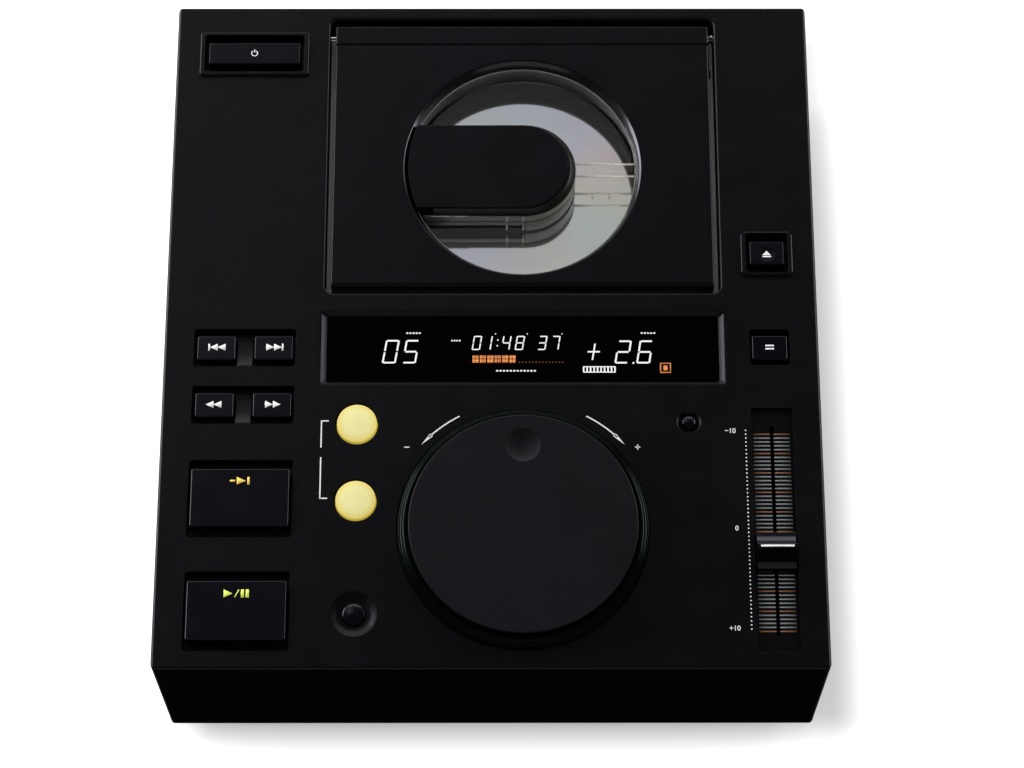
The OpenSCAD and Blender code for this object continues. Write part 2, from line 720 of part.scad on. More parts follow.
module lid_panel() {
    arm_x = hook_x - 2.5;
    color("#1e1e23")
    difference() {
        union() {
            difference() {
                translate([deck_x, lid_y, lid_z]) lid_block(lid_w, lid_d, lid_depth, 1.2);
                translate([deck_x, lid_y, lid_z - cut])
                    rounded_box(lid_w - 2 * lid_wall, lid_d - 2 * lid_wall, lid_depth + cut - lid_wall, 1);
            }
            // wall of the round window, down to the pane
            translate([deck_x, disc_y, pane_z]) cylinder(r = window_r + lid_wall, h = pane_depth - 1);
            // stiffening ribs
            for (x = [deck_x - window_r - 16, deck_x + window_r + 16])
                translate([x - 0.8, lid_front + 1, lid_z + 2]) cube([1.6, lid_d - 2, lid_depth - 3]);
            // hook of the latch, and the lug that the spring lifts
            translate([arm_x, eject_y - 3, hook_z]) cube([2.5, 6, lid_z + 5 - hook_z]);
            translate([arm_x, eject_y - 3, lid_z + 1]) cube([deck_x + lid_w / 2 - arm_x - 0.5, 6, 4]);
            translate([arm_x, eject_y - 3, hook_z]) rotate([90, 0, 90]) translate([0, 0, 2.4])
                linear_extrude(height = 1.6) polygon([[0, 0], [6, 0], [6, 2], [0, 2]]);
            translate([deck_x + lid_w / 2 - 1, lug_y, spring_z + 0.6]) cube([2.3, 4, 2.2]);
        }
        translate([deck_x, disc_y, lid_z - cut]) cylinder(r = window_r, h = lid_depth + 2 * cut);
    }
}

// Lid outline: rounded front edge, softer sides, nearly square at the hinge bar
module lid_block(w, d, h, corner) {
    intersection() {
        rounded_box(w, d, h, corner);
        translate([0, d / 2, 0]) rotate([90, 0, 0]) linear_extrude(height = d) arch(w, h, edge_soft);
        translate([-w / 2, 0, 0]) rotate([90, 0, 90]) linear_extrude(height = w)
            difference() {
                translate([-d / 2, 0]) square([d, h]);
                translate([-d / 2 + lid_nose, h - lid_nose]) quarter_gap(lid_nose, -1, 1);
            }
    }
}

module lid_window() {
    color([0.75, 0.78, 0.8, 0.3])
    difference() {
        translate([deck_x, disc_y, pane_z - pane_t]) cylinder(r = window_r + lid_wall - 0.2, h = pane_t);
        translate([deck_x, disc_y, pane_z - pane_t - cut])
            cylinder(r = clamp_hub_r + 0.8, h = pane_t + 2 * cut);
    }
}

// Tongue over the clamper: straight sides, round end about the disc's middle
module cover_plan(inset) {
    intersection() {
        circle(r = window_r - cover_gap - inset);
        union() {
            circle(r = cover_r - inset);
            translate([-window_r, -cover_r + inset]) square([window_r, 2 * (cover_r - inset)]);
        }
    }
}

module clamper_cover() {
    color("#1e1e23")
    translate([deck_x, disc_y, pane_z])
        difference() {
            linear_extrude(height = pane_depth) cover_plan(0);
            translate([0, 0, -cut]) linear_extrude(height = pane_depth + cut - 2) cover_plan(2);
        }
}

module hinge_bar() {
    color("#1e1e23")
    difference() {
        union() {
            translate([deck_x, hinge_y, bar_z]) soft_block(lid_w, bar_d, bar_h, 1, 0.8);
            for (s = [-1, 1])
                translate([deck_x + s * lid_w / 3 - 10, lid_rear, bar_z]) cube([20, slit + 1, bar_h - 4]);
        }
        for (s = [-1, 1])
            translate([deck_x + s * lid_w / 2, hinge_y, hinge_z])
                rotate([0, -s * 90, 0]) translate([0, 0, -cut]) cylinder(r = pin_r + run, h = 9 + cut);
    }
}

module hinge_pins() {
    color("#c8ccd0")
    for (s = [-1, 1])
        translate([deck_x + s * (lid_w / 2 - 8), hinge_y, hinge_z])
            rotate([0, s * 90, 0]) cylinder(r = pin_r, h = 8 + lid_side_gap + 5);
}

// Torsion spring on the right-hand pin: one leg on the well's flange, one under the lid's lug
coil_turns = 4;
coil_r = 2.3;
coil_wire = 0.25;
coil_pitch = (lid_side_gap - 4 * coil_wire - 0.2) / coil_turns;
coil_x = deck_x + lid_w / 2 + 2 * coil_wire + 0.1;
spring_z = hinge_z - coil_r;
lug_y = hinge_y - 22;
spring_path = concat(
    [for (t = [0, 0.5, 0.95]) [coil_x, lug_y + 0.5 + t * (hinge_y - lug_y - 0.5), spring_z]],
    [for (i = [0 : 20 * coil_turns + 5])
        [coil_x + coil_pitch * i / 20, hinge_y + coil_r * sin(i * 18), hinge_z - coil_r * cos(i * 18)]],
    [for (t = [0.3, 1]) [coil_x + coil_pitch * (coil_turns + 0.25), hinge_y + coil_r,
        hinge_z + t * (flange_z + 0.35 - hinge_z)]]
);
module lid_spring() {
    color("#c8ccd0") wire(spring_path, coil_wire, 8, [1, 0, 0]);
}

// ---------- latch ----------

hook_x = deck_x + lid_w / 2 - lid_wall;
hook_z = flange_z - 7.4;
slide_top = flange_z - well_t - seat;
slide_h = 4.7;
slide_half = 5.4;
stem = [6, 7];
ramp_gap = 0.45;
ramp_foot = slide_top - slide_h + 1.5;
slide_left = hook_x + 1.5 + seat;
slide_right = right_x + 7;

module latch_slider() {
    // the stem's ramp lies on x = z + ramp_c
    ramp_c = right_x + stem[0] / 2 - (ramp_foot + 4);
    window_left = right_x - stem[0] / 2 - eject_travel - seat;
    color("#d8d8d0")
    difference() {
        union() {
            translate([slide_left, eject_y - 4, slide_top - 2.4]) cube([4, 8, 2.4]);
            translate([slide_left + 3, eject_y - slide_half, slide_top - slide_h])
                cube([slide_right - slide_left - 3, 2 * slide_half, slide_h]);
        }
        // window with a ramp on its right-hand side
        translate([0, eject_y + stem[1] / 2 + 0.5, 0]) rotate([90, 0, 0])
            linear_extrude(height = stem[1] + 1)
                polygon([[window_left, slide_top - slide_h - cut],
                         [slide_top - slide_h - cut + ramp_c + ramp_gap, slide_top - slide_h - cut],
                         [slide_top + cut + ramp_c + ramp_gap, slide_top + cut],
                         [window_left, slide_top + cut]]);
    }
}

// ---------- well and drive ----------

lens_y = disc_y - lens_inner;
mech_z = disc_z - 18.4;
mech_t = 2.5;
mech_top = mech_z + mech_t;
rod_z = mech_top + 6.9;
rod_half = 10.5;
rod_l = sled_travel + 42;
rod_front = lens_y + 21 - rod_l;
well_floor_z = disc_z - 2.1;
mech_plan = [134, 123];
mech_mid = [deck_x, disc_y - 21.2];
damper_at = [for (y = [-67.7, 32.3], x = [-59.3, 59.3]) [x, disc_y + y]];
flange_left = well_post_x[0] - 5.9;
flange_right = well_post_x[1] + 5.9;
flange_front = bay_front - 6;
flange_rear = bay_rear + 3.2;

module disc_well() {
    pickup_slot_w = 26;
    color("#17171a")
    difference() {
        union() {
            translate([(flange_left + flange_right) / 2, (flange_front + flange_rear) / 2, flange_z - well_t])
                rounded_box(flange_right - flange_left, flange_rear - flange_front, well_t, 4);
            // shelf over the latch, with its two guides
            translate([flange_right - 5, eject_y - 9, flange_z - well_t])
                cube([right_x + 9 - flange_right + 5, 18, well_t]);
            for (s = [-1, 1])
                translate([slide_left + 8, eject_y + s * (slide_half + seat + 1) - 1,
                           slide_top - slide_h - 1.8])
                    cube([right_x + 8 - slide_left - 8, 2, slide_h + 2.6]);
            for (s = [-1, 1])
                translate([slide_left + 8, eject_y + s * (slide_half - 0.2) - 1.2, slide_top - slide_h - 1.8])
                    cube([right_x + 8 - slide_left - 8, 2.4, 1.5]);
            // round well
            translate([deck_x, disc_y, well_floor_z - well_t])
                cylinder(r = well_r + well_t, h = flange_z - well_floor_z + well_t - 0.5);
            // bosses for the drive's dampers
            for (p = damper_at)
                translate([deck_x + p[0], p[1], mech_top + 2.4])
                    cylinder(r = 4, h = flange_z - 1 - mech_top - 2.4);
            // finger scoops at both sides
            for (s = [-1, 1])
                translate([deck_x + s * (well_r - 4), disc_y, well_floor_z - well_t])
                    cylinder(r = 13 + well_t, h = flange_z - well_floor_z + well_t - 0.5);
        }
        translate([deck_x, disc_y, well_floor_z]) cylinder(r = well_r, h = flange_z - well_floor_z + cut);
        for (s = [-1, 1])
            translate([deck_x + s * (well_r - 4), disc_y, well_floor_z])
                cylinder(r = 13, h = flange_z - well_floor_z + cut);
        // turntable hole and pickup slot
        translate([deck_x, disc_y, well_floor_z - well_t - cut])
            cylinder(r = table_r + 2.5, h = well_t + 2 * cut);
        translate([deck_x - pickup_slot_w / 2, lens_y - sled_travel - 7.5, well_floor_z - well_t - cut])
            cube([pickup_slot_w, sled_travel + 7.5 + 8, well_t + 2 * cut]);
        // slot of the latch hook and window of the eject stem
        translate([hook_x - 3.3, eject_y - 4.8, flange_z - well_t - cut]) cube([5.6, 8.8, well_t + 2 * cut]);
        translate([right_x - stem[0] / 2 - 0.8, eject_y - stem[1] / 2 - 0.8, flange_z - well_t - cut])
            cube([stem[0] + 1.6, stem[1] + 1.6, well_t + 2 * cut]);
        for (x = well_post_x, y = well_post_y)
            translate([x, y, flange_z - well_t - cut]) cylinder(r = hole_r, h = well_t + 2 * cut);
        for (p = damper_at)
            translate([deck_x + p[0], p[1], mech_top]) cylinder(r = thread_r, h = 12);
    }
}

gear_x = deck_x - 15 - 2.9 - gear_module * pinion_teeth / 2;
gear_y = lens_y - 23.7;
motor_x = gear_x - gear_module * (wheel_teeth + motor_teeth) / 2;

module mech_chassis() {
    color("#24262a")
    difference() {
        union() {
            translate([mech_mid[0], mech_mid[1], mech_z])
                rounded_box(mech_plan[0], mech_plan[1], mech_t, 5);
            // uprights for the two rods
            for (s = [-1, 1], y = [rod_front + 1, rod_front + rod_l - 1])
                translate([deck_x + s * rod_half - 2.5, y - 2, mech_top - 0.5])
                    cube([5, 4, rod_z + 3 - mech_top]);
            // axle of the sled gear
            translate([gear_x, gear_y, mech_top - 0.5]) cylinder(r = rod_r, h = 9.1);
            translate([gear_x, gear_y, mech_top - 0.5]) cylinder(r = 3.2, h = 0.8);
            // stiffening rib along the rear
            translate([mech_mid[0] - 40, mech_mid[1] + mech_plan[1] / 2 - 12, mech_top - 0.5])
                cube([80, 1.8, 4]);
        }
        for (p = damper_at)
            translate([deck_x + p[0], p[1], mech_z - cut]) cylinder(r = 3.6, h = mech_t + 2 * cut);
        for (s = [-1, 1])
            translate([deck_x + s * rod_half, rod_front, rod_z]) rotate([-90, 0, 0])
                cylinder(r = rod_r, h = rod_l);
        translate([deck_x, disc_y, mech_z - cut]) cylinder(r = 5, h = mech_t + 2 * cut);
        translate([motor_x, gear_y, mech_z - cut]) cylinder(r = 3.1, h = mech_t + 2 * cut);
        // window under the pickup, right of the gear
        translate([deck_x + 3, lens_y - sled_travel - 10, mech_z - cut])
            cube([18, sled_travel + 14, mech_t + 2 * cut]);
    }
}

// Rubber grommets: a waist in the chassis hole between two flanges
module mech_dampers() {
    color("#0f0f10")
    for (p = damper_at)
        translate([deck_x + p[0], p[1], mech_z - 2.4])
            rotate_extrude()
                polygon([[1.9, 0], [4.8, 0], [5.4, 1.2], [5, 2.4], [3.6, 2.4], [3.6, 2.4 + mech_t],
                         [5, 2.4 + mech_t], [5.4, 3.6 + mech_t], [4.8, 4.8 + mech_t], [1.9, 4.8 + mech_t]]);
}

module mech_screws() {
    color("#b9bcc0")
    for (p = damper_at)
        translate([deck_x + p[0], p[1], mech_z - 2.4]) screw(4.8 + mech_t + 7);
}

module spindle_motor() {
    color("#a9adb2")
    translate([deck_x, disc_y, 0])
        difference() {
            union() {
                translate([0, 0, mech_z - 12]) cylinder(r = 13, h = 12);
                translate([0, 0, mech_z - 0.5]) cylinder(r = 4.9, h = mech_t + 1.5);
                translate([0, 0, mech_z - 13.5]) cylinder(r = 4, h = 2);
            }
            translate([0, 0, mech_z - 9]) cylinder(r = 1 + run, h = 20);
        }
}

// Turntable with its centring boss, rubber ring seat and shaft
module turntable() {
    stem_foot = mech_top + 1.3;
    color("#303236")
    translate([deck_x, disc_y, 0]) {
        rotate_extrude()
            polygon([[0, stem_foot], [5, stem_foot], [5, disc_z - 2.6], [table_r - 1, disc_z - 2.4],
                     [table_r, disc_z - 1.4], [table_r, disc_z], [disc_hole_r - run, disc_z],
                     [disc_hole_r - run, disc_z + 1.6], [disc_hole_r - 1.2, disc_z + 3.2], [4.2, disc_z + 4],
                     [0, disc_z + 4]]);
        translate([0, 0, mech_z - 8.5]) cylinder(r = 1, h = stem_foot + 1 - mech_z + 8.5);
    }
}

module disc() {
    color("#d5d8dc")
    translate([deck_x, disc_y, disc_z])
        difference() {
            cylinder(r = disc_r, h = disc_t);
            translate([0, 0, -cut]) cylinder(r = disc_hole_r, h = disc_t + 2 * cut);
        }
}

// Clamper: a dished puck held loosely in the hole of the pane
clamp_hub_r = 6;
module clamper() {
    foot = disc_z + disc_t + seat;
    color("#26262a")
    translate([deck_x, disc_y, 0])
        rotate_extrude()
            polygon([[0, foot + 4.6], [9.5, foot + 4.6], [9.5, foot], [clamp_r, foot], [clamp_r, foot + 1.6],
                     [clamp_r - 1, foot + 2.4], [11.5, foot + 6.6], [clamp_hub_r, foot + 7.4],
                     [clamp_hub_r, pane_z + 0.5], [clamp_hub_r + 2.5, pane_z + 0.5],
                     [clamp_hub_r + 2.5, pane_z + 1.8], [0, pane_z + 1.8]]);
}

// Laser pickup: body, lens turret, one round bearing and one open fork
body_z = rod_z - 3.5;
module pickup() {
    color("#3a3d42")
    difference() {
        union() {
            translate([deck_x - 15, lens_y - 12, body_z]) cube([30, 24, 7.6]);
            translate([deck_x, lens_y, body_z + 7.1]) cylinder(r = 6.5, h = 2.4);
            translate([deck_x - 9, lens_y - 8.5, body_z + 7.1]) cube([18, 3, 1.6]);
            translate([deck_x + 4, lens_y - 9, body_z - 2]) cube([9, 16, 2.5]);
        }
        translate([deck_x - rod_half, lens_y - 13, rod_z]) rotate([-90, 0, 0])
            cylinder(r = rod_r + run, h = 26);
        translate([deck_x + rod_half - rod_r - 0.1, lens_y - 13, rod_z - rod_r - 0.1])
            cube([10, 26, 2 * rod_r + 0.2]);
        translate([deck_x, lens_y, body_z + 8]) cylinder(r = 3.4, h = 3);
    }
}

module pickup_lens() {
    color([0.5, 0.6, 0.9, 0.5])
    translate([deck_x, lens_y, body_z + 8])
        rotate_extrude() polygon([[0, 0], [3.4, 0], [3.4, 1.2], [2.6, 1.6], [1.5, 1.9], [0, 2]]);
}

module guide_rods() {
    color("#d0d4d8")
    for (s = [-1, 1])
        translate([deck_x + s * rod_half, rod_front, rod_z]) rotate([-90, 0, 0])
            cylinder(r = rod_r, h = rod_l);
}

// Rack on the pickup's left side, teeth toward the gear
rack_z = body_z + 0.9;
rack_h = 2.8;
rack_pitch = PI * gear_module;
rack_teeth = ceil((sled_travel + 8) / rack_pitch);
module sled_rack() {
    line = deck_x - 15 - 2.9;
    add = 0.85 * gear_module;
    ded = 1.2 * gear_module;
    half = rack_pitch / 4 - backlash / 2;
    color("#e4e0cf") {
        translate([line + ded, gear_y - 1.5 * rack_pitch, rack_z])
            cube([2.9 - ded, (rack_teeth + 0.5) * rack_pitch, rack_h]);
        for (i = [0 : rack_teeth - 1])
            translate([line, gear_y + (i - 0.5) * rack_pitch, rack_z])
                linear_extrude(height = rack_h)
                    polygon([[ded + 0.1, -half - tan(20) * ded], [-add, -half + tan(20) * add],
                             [-add, half - tan(20) * add], [ded + 0.1, half + tan(20) * ded]]);
    }
}

// Compound gear: pinion above, wheel below
module sled_gear() {
    color("#e4e0cf")
    translate([gear_x, gear_y, mech_top + 0.5]) {
        difference() {
            gear(wheel_teeth, 2.4, rod_r + run);
            for (a = [0 : 60 : 300])
                rotate([0, 0, a]) translate([9.6, 0, -cut]) cylinder(r = 2.3, h = 2.4 + 2 * cut);
        }
        translate([0, 0, 2.3]) gear(pinion_teeth, 4.8, rod_r + run);
    }
}

module sled_motor() {
    color("#a9adb2")
    translate([motor_x, gear_y, 0])
        difference() {
            union() {
                translate([0, 0, mech_z - 15]) cylinder(r = 9.8, h = 15);
                translate([0, 0, mech_z - 0.5]) cylinder(r = 3, h = mech_t + 0.5);
            }
            translate([0, 0, mech_z - 10]) cylinder(r = 1 + run, h = 20);
        }
}

module sled_pinion() {
    color("#c9a648")
    translate([motor_x, gear_y, 0]) {
        translate([0, 0, mech_top + 0.4]) rotate([0, 0, 180 / motor_teeth]) gear(motor_teeth, 2.8, 1);
        translate([0, 0, mech_z - 9.5]) cylinder(r = 1, h = mech_t + 9.5 + 3.4);
    }
}

// ---------- display ----------

module display_window() {
    color("#050506")
    translate([display_x, display_y, top - display_depth - display_t])
        rounded_box(window_size[0] - 0.2, window_size[1] - 0.2, display_t, 0.9);
}

module display_tube() {
    color("#1d2b2b")
    translate([display_x, display_y, tube_z]) {
        rounded_box(tube_size[0], tube_size[1], tube_size[2], 1);
        translate([-tube_size[0] / 2 - 4, 0, 2.5]) rotate([0, 90, 0]) cylinder(r = 1.8, h = 5);
    }
}

module display_board() {
    color("#2c5a3a")
    translate([display_x, display_y, display_board_z])
        difference() {
            rounded_box(display_board_size[0], display_board_size[1], board_t, 1);
            for (sx = [-1, 1], sy = [-1, 1])
                translate([sx * (display_post_x - 6.5), sy * 12, -cut]) cylinder(r = 1.2, h = 4);
        }
}

// ---------- jog dial ----------

module jog_dial() {
    color("#232327")
    translate([deck_x, dial_y, 0])
        difference() {
            rotate_extrude()
                polygon(concat(
                    [[shaft_r, hub_foot], [hub_r, hub_foot], [hub_r, top + dial_h - dial_wall - 0.6],
                     [dial_r - dial_wall, top + dial_h - dial_wall - 0.6], [dial_r - dial_wall, ring_z],
                     [ring_r, ring_z]],
                    // three fine steps of the grip ring
                    [for (i = [0 : 2])
                        let (r = ring_r - i * (ring_r - dial_r) / 4, z = ring_z + 1.5 * i)
                        each [[r, z + 0.8], [r - 0.45, z + 1.15], [r - 0.8, z + 1.15]]],
                    [[dial_r - 1, ring_z + 4.6], [dial_r - 1, top + dial_h - 2.6],
                     [dial_r, top + dial_h - 2.2], [dial_r, top + dial_h - 0.6],
                     [dial_r - 0.2, top + dial_h - 0.2], [dial_r - 0.6, top + dial_h],
                     [0, top + dial_h], [0, top + dial_h - dial_wall],
                     [shaft_r, top + dial_h - dial_wall]]));
            // finger dimple, part of a large ball
            translate([0, dimple_at, top + dial_h + dimple_ball - dimple_depth]) sphere(r = dimple_ball);
        }
}
module jog_shaft() {
    color("#c8ccd0")
    translate([deck_x, dial_y, shaft_foot]) cylinder(r = shaft_r, h = top + dial_h - dial_wall - shaft_foot);
}

module jog_bush() {
    color("#c9a648")
    translate([deck_x, dial_y, 0])
        rotate_extrude()
            polygon([[shaft_r + run, jog_plate_z - 3], [bush_r, jog_plate_z - 3],
                     [bush_r, jog_plate_z + jog_plate_t], [bush_r + 2, jog_plate_z + jog_plate_t],
                     [bush_r + 2, jog_plate_z + jog_plate_t + 2], [bush_r - 1, jog_plate_z + jog_plate_t + 3],
                     [bush_r - 1, hub_foot - seat], [shaft_r + run, hub_foot - seat]]);
}

// Pressed steel plate under the dial with the bracket of the turn sensor
module jog_base() {
    color("#8f9294")
    translate([deck_x, dial_y, jog_plate_z]) {
        difference() {
            rounded_box(jog_plate_w, jog_plate_w, jog_plate_t, 6);
            translate([0, 0, -cut]) cylinder(r = bush_r, h = jog_plate_t + 2 * cut);
            for (sx = [-1, 1], sy = [-1, 1])
                translate([sx * 20, sy * 20, -cut]) cylinder(r = 6, h = jog_plate_t + 2 * cut);
        }
        difference() {
            translate([encoder_r - 4, -5, -9]) cube([10, 10, 9]);
            translate([encoder_r - 5, -6, -7.2]) cube([7, 12, 2.4]);
        }
    }
}

// Slotted wheel that the turn sensor reads
module jog_encoder() {
    color("#2a2c30")
    translate([deck_x, dial_y, jog_plate_z - 6.4])
        difference() {
            union() {
                cylinder(r = encoder_r, h = 0.8);
                translate([0, 0, -1.6]) cylinder(r = 6, h = 4);
            }
            translate([0, 0, -3]) cylinder(r = shaft_r, h = 8);
            for (a = [0 : 12 : 348])
                rotate([0, 0, a]) translate([encoder_r - 4, -0.7, -cut]) cube([2.6, 1.4, 3]);
        }
}

// ---------- tempo fader ----------

module fader_plate() {
    color("#26262a")
    translate([fader_x, dial_y, channel_z])
        difference() {
            rounded_box(channel_w - 0.3, channel_l - 0.3, plate_t, 0.8);
            translate([0, 0, -cut]) rounded_box(slot_w, slot_l, plate_t + 2 * cut, 0.9);
        }
}

// Cap: a lip at each end, two finger scoops and a ridge between them
module fader_cap() {
    foot = channel_z + plate_t + 0.4;
    ridge = top + cap_h;
    lip = top + 3.6;
    half = cap_l / 2;
    color("#1a1a1e")
    difference() {
        translate([fader_x - cap_w / 2, cap_y, 0]) rotate([90, 0, 90]) linear_extrude(height = cap_w)
            difference() {
                polygon([[-half, foot], [half, foot], [half - 0.5, lip - 0.6], [half - 1.2, lip],
                         [half - 2.6, lip], [1.1, ridge], [-1.1, ridge], [-half + 2.6, lip],
                         [-half + 1.2, lip], [-half + 0.5, lip - 0.6]]);
                for (s = [-1, 1])
                    translate([s * 9.3, ridge + 1.2]) circle(r = 8.2);
            }
        translate([fader_x - lever_t / 2, cap_y - lever_l / 2, foot - cut]) cube([lever_t, lever_l, 5 + cut]);
    }
}

module fader_lever() {
    foot = channel_z + plate_t + 0.4;
    color("#c8ccd0")
    translate([fader_x - lever_t / 2, cap_y - lever_l / 2, fader_tub_z - 6])
        cube([lever_t, lever_l, foot + 5 - fader_tub_z + 6]);
}

module fader_body() {
    color("#8f9294")
    translate([fader_x, dial_y, fader_tub_z - fader_body_h])
        difference() {
            rounded_box(fader_body_w, fader_travel + 24, fader_body_h, 1);
            translate([0, 0, 1]) rounded_box(fader_body_w - 3, fader_travel + 14, fader_body_h - 2, 1);
            translate([0, 0, fader_body_h - 2]) rounded_box(slot_w + 0.6, slot_l + 2, 4, 0.9);
        }
}

// ---------- keys ----------

// Rectangular key: soft cap, a body through the guide hole and a flange below it
module block_key(at, size, proud) {
    translate([at[0], at[1], tub_z - seat - 0.2])
        soft_block(size[0], size[1], top + proud - tub_z + seat + 0.2, key_corner, key_edge);
    translate([at[0], at[1], key_flange_z])
        rounded_box(size[0] + 2 * flange_out, size[1] + 2 * flange_out, flange_t, 1.5);
}

// Round key with a domed cap of the given rise
module round_key(at, r, rim_z, rise) {
    translate([at[0], at[1], 0]) {
        intersection() {
            translate([0, 0, tub_z - seat - 0.2]) cylinder(r = r, h = rim_z + rise - tub_z + 1);
            translate([0, 0, rim_z + rise - (r * r + rise * rise) / (2 * rise)])
                sphere(r = (r * r + rise * rise) / (2 * rise));
        }
        translate([0, 0, key_flange_z]) cylinder(r = r + flange_out, h = flange_t);
        translate([0, 0, key_flange_z + flange_t - 0.2])
            cylinder(r = r, h = rim_z - key_flange_z - flange_t);
    }
}

module power_button() {
    color("#1c1c20") block_key([left_x, power_y], power_key, rim_h);
}
module master_tempo_button() {
    color("#1c1c20") block_key([right_x, row_y], tempo_key, 0);
}
module track_back_button() {
    color("#1c1c20") block_key([left_x - pair_half, row_y], small_key, 0);
}
module track_next_button() {
    color("#1c1c20") block_key([left_x + pair_half, row_y], small_key, 0);
}
module search_back_button() {
    color("#1c1c20") block_key([left_x - pair_half, search_y], small_key, 0);
}
module search_forward_button() {
    color("#1c1c20") block_key([left_x + pair_half, search_y], small_key, 0);
}
module cue_button() {
    color("#1c1c20") block_key([left_x, cue_y], big_key, big_proud);
}
module play_button() {
    color("#1c1c20") block_key([left_x, play_y], big_key, big_proud);
}
module loop_out_button() {
    color("#f3f0b0") round_key([loop_x, loop_out_y], loop_key_r, top + 0.4, 1.2);
}
module loop_in_button() {
    color("#f3f0b0") round_key([loop_x, loop_in_y], loop_key_r, top + 0.4, 1.2);
}
module reloop_button() {
    color("#2a2a2e") round_key([loop_x, reloop_y], reloop_key_r, top - 0.6, 1.1);
}
module time_mode_button() {
    color("#2a2a2e") round_key([time_x, time_y], time_key_r, top - 0.6, 0.8);
}

// Eject key: a finger dish on top, and a stem whose ramp moves the latch
module eject_button() {
    color("#1c1c20")
    difference() {
        union() {
            block_key([right_x, eject_y], eject_key, rim_h);
            translate([right_x, eject_y, 0]) rotate([90, 0, 0]) translate([0, 0, -stem[1] / 2])
                linear_extrude(height = stem[1])
                    polygon([[-stem[0] / 2, ramp_foot], [stem[0] / 2 - 4, ramp_foot],
                             [stem[0] / 2, ramp_foot + 4], [stem[0] / 2, key_flange_z + 0.5],
                             [-stem[0] / 2, key_flange_z + 0.5]]);
        }
        translate([right_x, eject_y - 0.6, top + rim_h + 16.6]) sphere(r = 17.2);
    }
}

// ---------- electronics ----------

module key_boards() {
    color("#2c5a3a")
    for (b = board_plans)
        translate([b[0][0], b[0][1], key_board_z]) rounded_box(b[1][0], b[1][1], board_t, 1);
}

// One push switch under each sprung key that has a board below it
module key_switches() {
    color("#3a3a3e") {
        for (i = [2 : len(keys) - 1])
            push_switch(keys[i][0], keys[i][1] == big_key ? big_travel : key_travel);
        for (k = round_keys)
            push_switch(k[0], key_travel);
    }
}

module push_switch(at, travel) {
    translate([at[0], at[1], key_board_z + board_t]) {
        translate([-3, -3, 0]) cube([6, 6, switch_h]);
        cylinder(r = 1.7, h = key_flange_z - travel - seat - key_board_z - board_t);
    }
}

// Mains switch block behind the power key, hung on the panel by two legs
module mains_switch() {
    color("#2a2c30")
    translate([left_x, power_y, 0]) {
        translate([-12, -8, key_flange_z - 28]) cube([24, 16, 18]);
        translate([-3, -3, key_flange_z - 12]) cube([6, 6, 12 - key_travel - seat]);
        for (s = [-1, 1])
            translate([-6, s * 15 - 1.5, key_flange_z - 20]) cube([12, 3, panel_under - key_flange_z + 20]);
        translate([-6, -15, key_flange_z - 20]) cube([12, 30, 2]);
    }
}

// Main board on pillars, with its large parts
module main_board() {
    pillar_h = 8;
    color("#2c5a3a")
    translate([case_w / 2 - 120, front + 135.5, foot_h + sheet_t]) {
        translate([0, 0, pillar_h]) rounded_box(190, 150, board_t, 2);
        for (sx = [-1, 1], sy = [-1, 1])
            translate([sx * 88, sy * 68, 0]) cylinder(r = 3, h = pillar_h + 0.2);
        translate([0, 0, pillar_h + board_t - 0.2]) {
            for (p = [[-50, -20, 24, 24, 3], [0, -30, 18, 18, 3], [40, 10, 28, 14, 3],
                      [-30, 35, 14, 20, 3], [60, -40, 20, 12, 10], [-70, -50, 10, 30, 9]])
                translate([p[0] - p[2] / 2, p[1] - p[3] / 2, 0]) cube([p[2], p[3], p[4]]);
            for (i = [0 : 3])
                translate([20 + i * 16, 50, 0]) cylinder(r = 5, h = 14);
        }
    }
}

// Mains transformer: laminated core, wound bobbin and mounting feet
module power_transformer() {
    color("#6a5a3a")
    translate([48 - case_w / 2, case_d / 2 - 80.5, foot_h + sheet_t]) {
        translate([-28, -24, 0]) cube([56, 48, 1.5]);
        difference() {
            translate([-22, -27.5, 1]) cube([44, 55, 36]);
            for (s = [-1, 1]) translate([s * 11 - 4, -cut - 28, 10]) cube([8, 57 + cut, 18]);
        }
        translate([-14, -33, 11]) cube([28, 66, 16]);
    }
}

// Two-pin mains inlet with its moulded shroud
module ac_inlet() {
    color("#121214") {
        difference() {
            translate([inlet_x, rear_plate_y - 16, socket_z]) rotate([-90, 0, 0])
                union() {
                    rounded_box(inlet_w, inlet_h, 18.5, 2);
                    translate([0, 0, 16]) rounded_box(inlet_w + 5, inlet_h + 5, 2, 2.5);
                }
            translate([inlet_x, rear_plate_y - 10.5, socket_z]) rotate([-90, 0, 0])
                rounded_box(19, 10, 20, 4.9);
        }
        for (s = [-1, 1])
            translate([inlet_x + s * 4.3, rear_plate_y - 12, socket_z]) rotate([-90, 0, 0])
                cylinder(r = 1.2, h = 12.5);
    }
}

// Two coaxial audio sockets on one block, and two small remote sockets
module audio_sockets() {
    color("#c8ccd0") {
        translate([audio_x[0] - 8, rear_plate_y - sheet_t - 10, socket_z - 9])
            cube([audio_x[1] - audio_x[0] + 16, 10, 18]);
        for (x = audio_x)
            translate([x, rear_plate_y - sheet_t - 1, socket_z]) rotate([-90, 0, 0])
                difference() {
                    union() {
                        cylinder(r = 5.1, h = sheet_t + 1.8);
                        cylinder(r = sleeve_r, h = sheet_t + 9.6);
                    }
                    translate([0, 0, 2]) cylinder(r = 1.7, h = 12);
                }
        for (x = control_x) {
            translate([x - 5, rear_plate_y - sheet_t - 9, socket_z - 5.5]) cube([10, 9, 11]);
            translate([x, rear_plate_y - sheet_t - 1, socket_z]) rotate([-90, 0, 0])
                difference() {
                    cylinder(r = 3, h = sheet_t + 2.6);
                    translate([0, 0, 1.5]) cylinder(r = 1.8, h = 6);
                }
        }
    }
}

